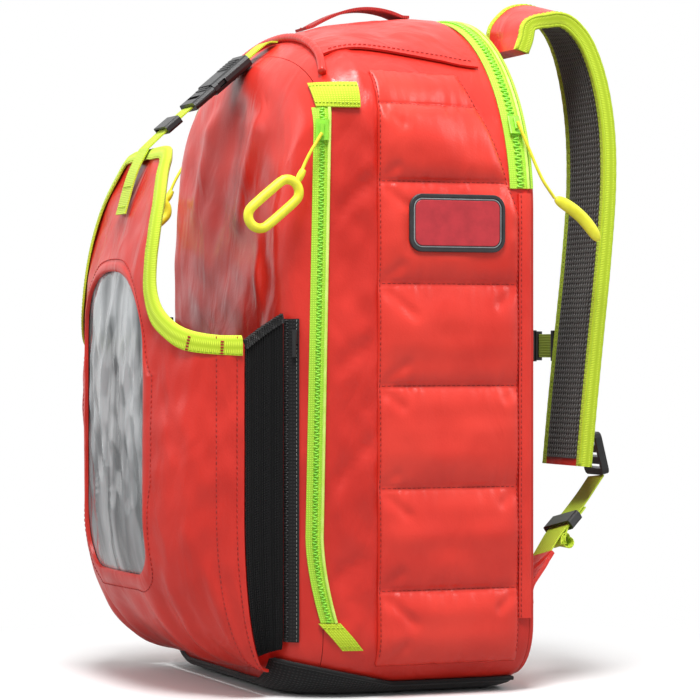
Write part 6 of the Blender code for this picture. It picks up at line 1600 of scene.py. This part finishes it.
def lock_axes():
    """Upward and outward directions of a ladder lock."""
    tilt = math.radians(LOCK_TILT_DEG)
    return np.array([0, math.sin(tilt), math.cos(tilt)]), np.array([0, math.cos(tilt), -math.sin(tilt)])


def make_strap_webbing():
    """Webbing above and below each ladder lock, its rolled tail, and the tab it is sewn to."""
    for side, sign in SIDES:
        x = sign * STRAP_X
        end_y, end_z = strap_route(side)[-1]
        outer = end_y + STRAP_THICK / 2
        across = np.array([float(sign), 0, 0])
        lock_y = outer + LOCK_REACH
        lock_z = end_z + LOCK_RISE
        face = STRAP_THICK / 2 + WEBBING_THICK / 2 + GAP
        lock_up, lock_out = lock_axes()
        middle = np.array([x, lock_y, lock_z])
        above = middle + lock_up * (LOCK_HALF_HEIGHT + 2 * GAP) - lock_out * 0.0018
        below = middle - lock_up * (LOCK_HALF_HEIGHT + 4 * GAP) - lock_out * 0.0018
        hang = [(x, strap_depth_at(end_z + 0.070) + face, end_z + 0.070),
                (x, strap_depth_at(end_z + 0.052) + face + LAY, end_z + 0.052),
                (x, (outer + lock_y) / 2 + 0.004, end_z + 0.040), above]
        section = ribbon_section(LOWER_WEBBING_WIDTH, WEBBING_THICK)
        sweep("lock_strap_" + side, smooth_path(hang, 50), across, section, LIME_WEBBING, "harness",
              ["lock_webbing_" + side])
        steps = ((1.03, 0.011, 0.036), (1.12, 0.029, 0.052), (1.22, 0.047, 0.066), (1.30, 0.062, 0.082))
        low = [below] + [(x * wider, lock_y - back, lock_z - down) for wider, back, down in steps]
        path = smooth_path(low, 90)
        sweep("lower_strap_" + side, path, across, section, LIME_WEBBING, "harness",
              ["lower_webbing_" + side])
        _, _, face_out = frames_on(path, across)
        face_out = face_out * np.sign(face_out[45, 1])
        share = np.linspace(0, 2.6 * math.pi, 60)
        curl = 0.0038 + 0.0009 * share / math.pi
        at = path[66] + face_out[66] * 0.0085
        down = unit(path[67] - path[65])
        roll = at + (np.sin(share) * curl)[:, None] * down - (np.cos(share) * curl)[:, None] * face_out[66]
        laid = path[34:60:5] + face_out[34:60:5] * 0.0022
        tail = smooth_path(np.vstack([laid, roll[::-1][4:][::4]]), 110)
        sweep("rolled_tail_" + side, tail, across, section, LIME_WEBBING, "harness")
        end = path[-1]
        along = unit(path[-1] - path[-2])
        seat = REAR_Y + GAP + PANEL_THICK + GAP + 0.0021
        tab = smooth_path([(end[0] + sign * 0.012, seat + 0.0012, end[2] - 0.038),
                           (end[0] + sign * 0.011, seat + 0.0022, end[2] - 0.024),
                           tuple(end + along * 0.011), tuple(end + along * 2 * GAP)], 50)
        sweep("corner_cloth_" + side, tab, (sign, 0, 0), ribbon_section(0.034, 0.0042), RED, "harness",
              ["corner_tab_" + side])


def make_sternum():
    """Webbing between each strap's slider and the sternum buckle."""
    y = strap_depth_at(STERNUM_Z)
    inner = STRAP_X - STRAP_WIDTH / 2 - STERNUM_SLIDER_REACH - 2 * GAP
    near = STERNUM_BUCKLE_HALF + GAP
    ribbon = ribbon_section(STERNUM_WIDTH, WEBBING_THICK)
    for side, sign in SIDES:
        path = np.linspace((sign * inner, y, STERNUM_Z), (sign * near, y, STERNUM_Z), 30)
        strap = sweep("sternum_strap_" + side, path, (0, 0, 1), ribbon, LIME_WEBBING, "sternum_" + side,
                      ["sternum_webbing_" + side])
        if side == "right":
            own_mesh(strap)


for make in (make_main_shell, make_front_shell, make_boot, make_quilts, make_hood, make_grab_handle,
             make_side_zips, make_zip_tabs, make_rear_zip, make_rear_flaps, make_sleeve_front, make_window,
             make_binding, make_gussets, make_sleeve_zips, make_closure, make_badge, make_side_pulls,
             make_rear_pull, make_back_panel, make_back_pad, make_shoulder_straps, make_strap_webbing,
             make_sternum):
    make()


# ---------------------------------------------------------------- finishes on the solids that stay
SLOT_FINISH = {"red_tarpaulin": RED, "red_quilt": RED_QUILT, "red_webbing": RED, "lime_webbing": LIME_EDGE,
               "lime_zip": LIME_COIL, "yellow_rubber": YELLOW_RUBBER, "spacer_mesh": BLACK_COIL,
               "clear_vinyl": VINYL, "badge_rubber": BADGE_RED, "grey_sheet": HDPE}
slots = {row["node"]: row["material_slot"] for row in frame["record"]["subparts"]}
for node_name, solid in frame["nodes"].items():
    solid.data.materials.clear()
    solid.data.materials.append(SLOT_FINISH.get(slots[node_name], BLACK_ACETAL))


# ---------------------------------------------------------------- stage, light and camera
def make_stage():
    """A pale floor that keeps the pack's shadow; the camera sees plain white beyond it."""
    mesh = bpy.data.meshes.new("floor")
    mesh.from_pydata([(-6, -6, 0), (6, -6, 0), (6, 6, 0), (-6, 6, 0)], [], [(0, 1, 2, 3)])
    floor = bpy.data.objects.new("floor", mesh)
    bpy.context.scene.collection.objects.link(floor)
    made, tree, shader = start_material("painted_floor_white", 0.9, Specular_IOR_Level=0.1)
    coords = add_node(tree, "ShaderNodeTexCoord").outputs["Object"]
    reach = add_node(tree, "ShaderNodeVectorMath", {0: coords}, operation="LENGTH")
    fade = add_node(tree, "ShaderNodeMapRange", {"Value": reach.outputs["Value"]},
                    {"From Min": FLOOR_FADE[0], "From Max": FLOOR_FADE[1]}, interpolation_type="SMOOTHSTEP")
    seen = add_node(tree, "ShaderNodeLightPath").outputs["Is Camera Ray"]
    paint = add_node(tree, "ShaderNodeMix", {"Factor": seen}, data_type="RGBA")
    paint.inputs["A"].default_value = linear("#B0B0B0")
    paint.inputs["B"].default_value = linear("#F8F8F8")
    tree.links.new(paint.outputs["Result"], shader.inputs["Base Color"])
    share = add_node(tree, "ShaderNodeMath", {0: fade.outputs["Result"], 1: seen}, operation="MULTIPLY")
    white = add_node(tree, "ShaderNodeEmission", inputs={"Strength": 1.0})
    both = add_node(tree, "ShaderNodeMixShader", {0: share.outputs["Value"], 1: shader.outputs["BSDF"],
                                                  2: white.outputs["Emission"]})
    tree.links.new(both.outputs["Shader"], tree.nodes["Material Output"].inputs["Surface"])
    mesh.materials.append(made)
    world = bpy.data.worlds.new("studio")
    world.use_nodes = True
    bpy.context.scene.world = world
    tree = world.node_tree
    background = tree.nodes["Background"]
    background.inputs["Color"].default_value = (1.0, 1.0, 1.0, 1.0)
    path = add_node(tree, "ShaderNodeLightPath")
    seen = add_node(tree, "ShaderNodeMath", operation="MAXIMUM",
                    links={0: path.outputs["Is Camera Ray"], 1: path.outputs["Is Glossy Ray"]})
    shown = add_node(tree, "ShaderNodeMath", operation="MAXIMUM",
                     links={0: seen.outputs["Value"], 1: path.outputs["Is Transmission Ray"]})
    level = add_node(tree, "ShaderNodeMapRange", {"Value": shown.outputs["Value"]},
                     {"To Min": WORLD_LEVEL, "To Max": 1.0})
    tree.links.new(level.outputs["Result"], background.inputs["Strength"])


def add_lamp(name, place, target, power, size):
    """A square softbox that faces its target."""
    lamp = bpy.data.lights.new(name, "AREA")
    lamp.energy = power
    lamp.size = size
    holder = bpy.data.objects.new(name, lamp)
    holder.location = place
    holder.rotation_euler = (Vector(target) - Vector(place)).to_track_quat("-Z", "Y").to_euler()
    bpy.context.scene.collection.objects.link(holder)


def make_camera():
    """The photograph's view: level with the middle of the pack, from its right and a little in front."""
    turn = math.radians(CAMERA_AZIMUTH)
    back = Vector((math.sin(turn), -math.cos(turn), 0.0))
    lens = bpy.data.cameras.new("photo_view")
    lens.lens = CAMERA_LENS
    lens.sensor_width = 36.0
    camera = bpy.data.objects.new("photo_view", lens)
    camera.location = AIM + back * CAMERA_DISTANCE
    camera.rotation_euler = (-back).to_track_quat("-Z", "Y").to_euler()
    bpy.context.scene.collection.objects.link(camera)
    bpy.context.scene.camera = camera


make_stage()
for lamp_plan in LAMPS:
    add_lamp(*lamp_plan)
make_camera()
bpy.context.scene.view_settings.view_transform = "Standard"
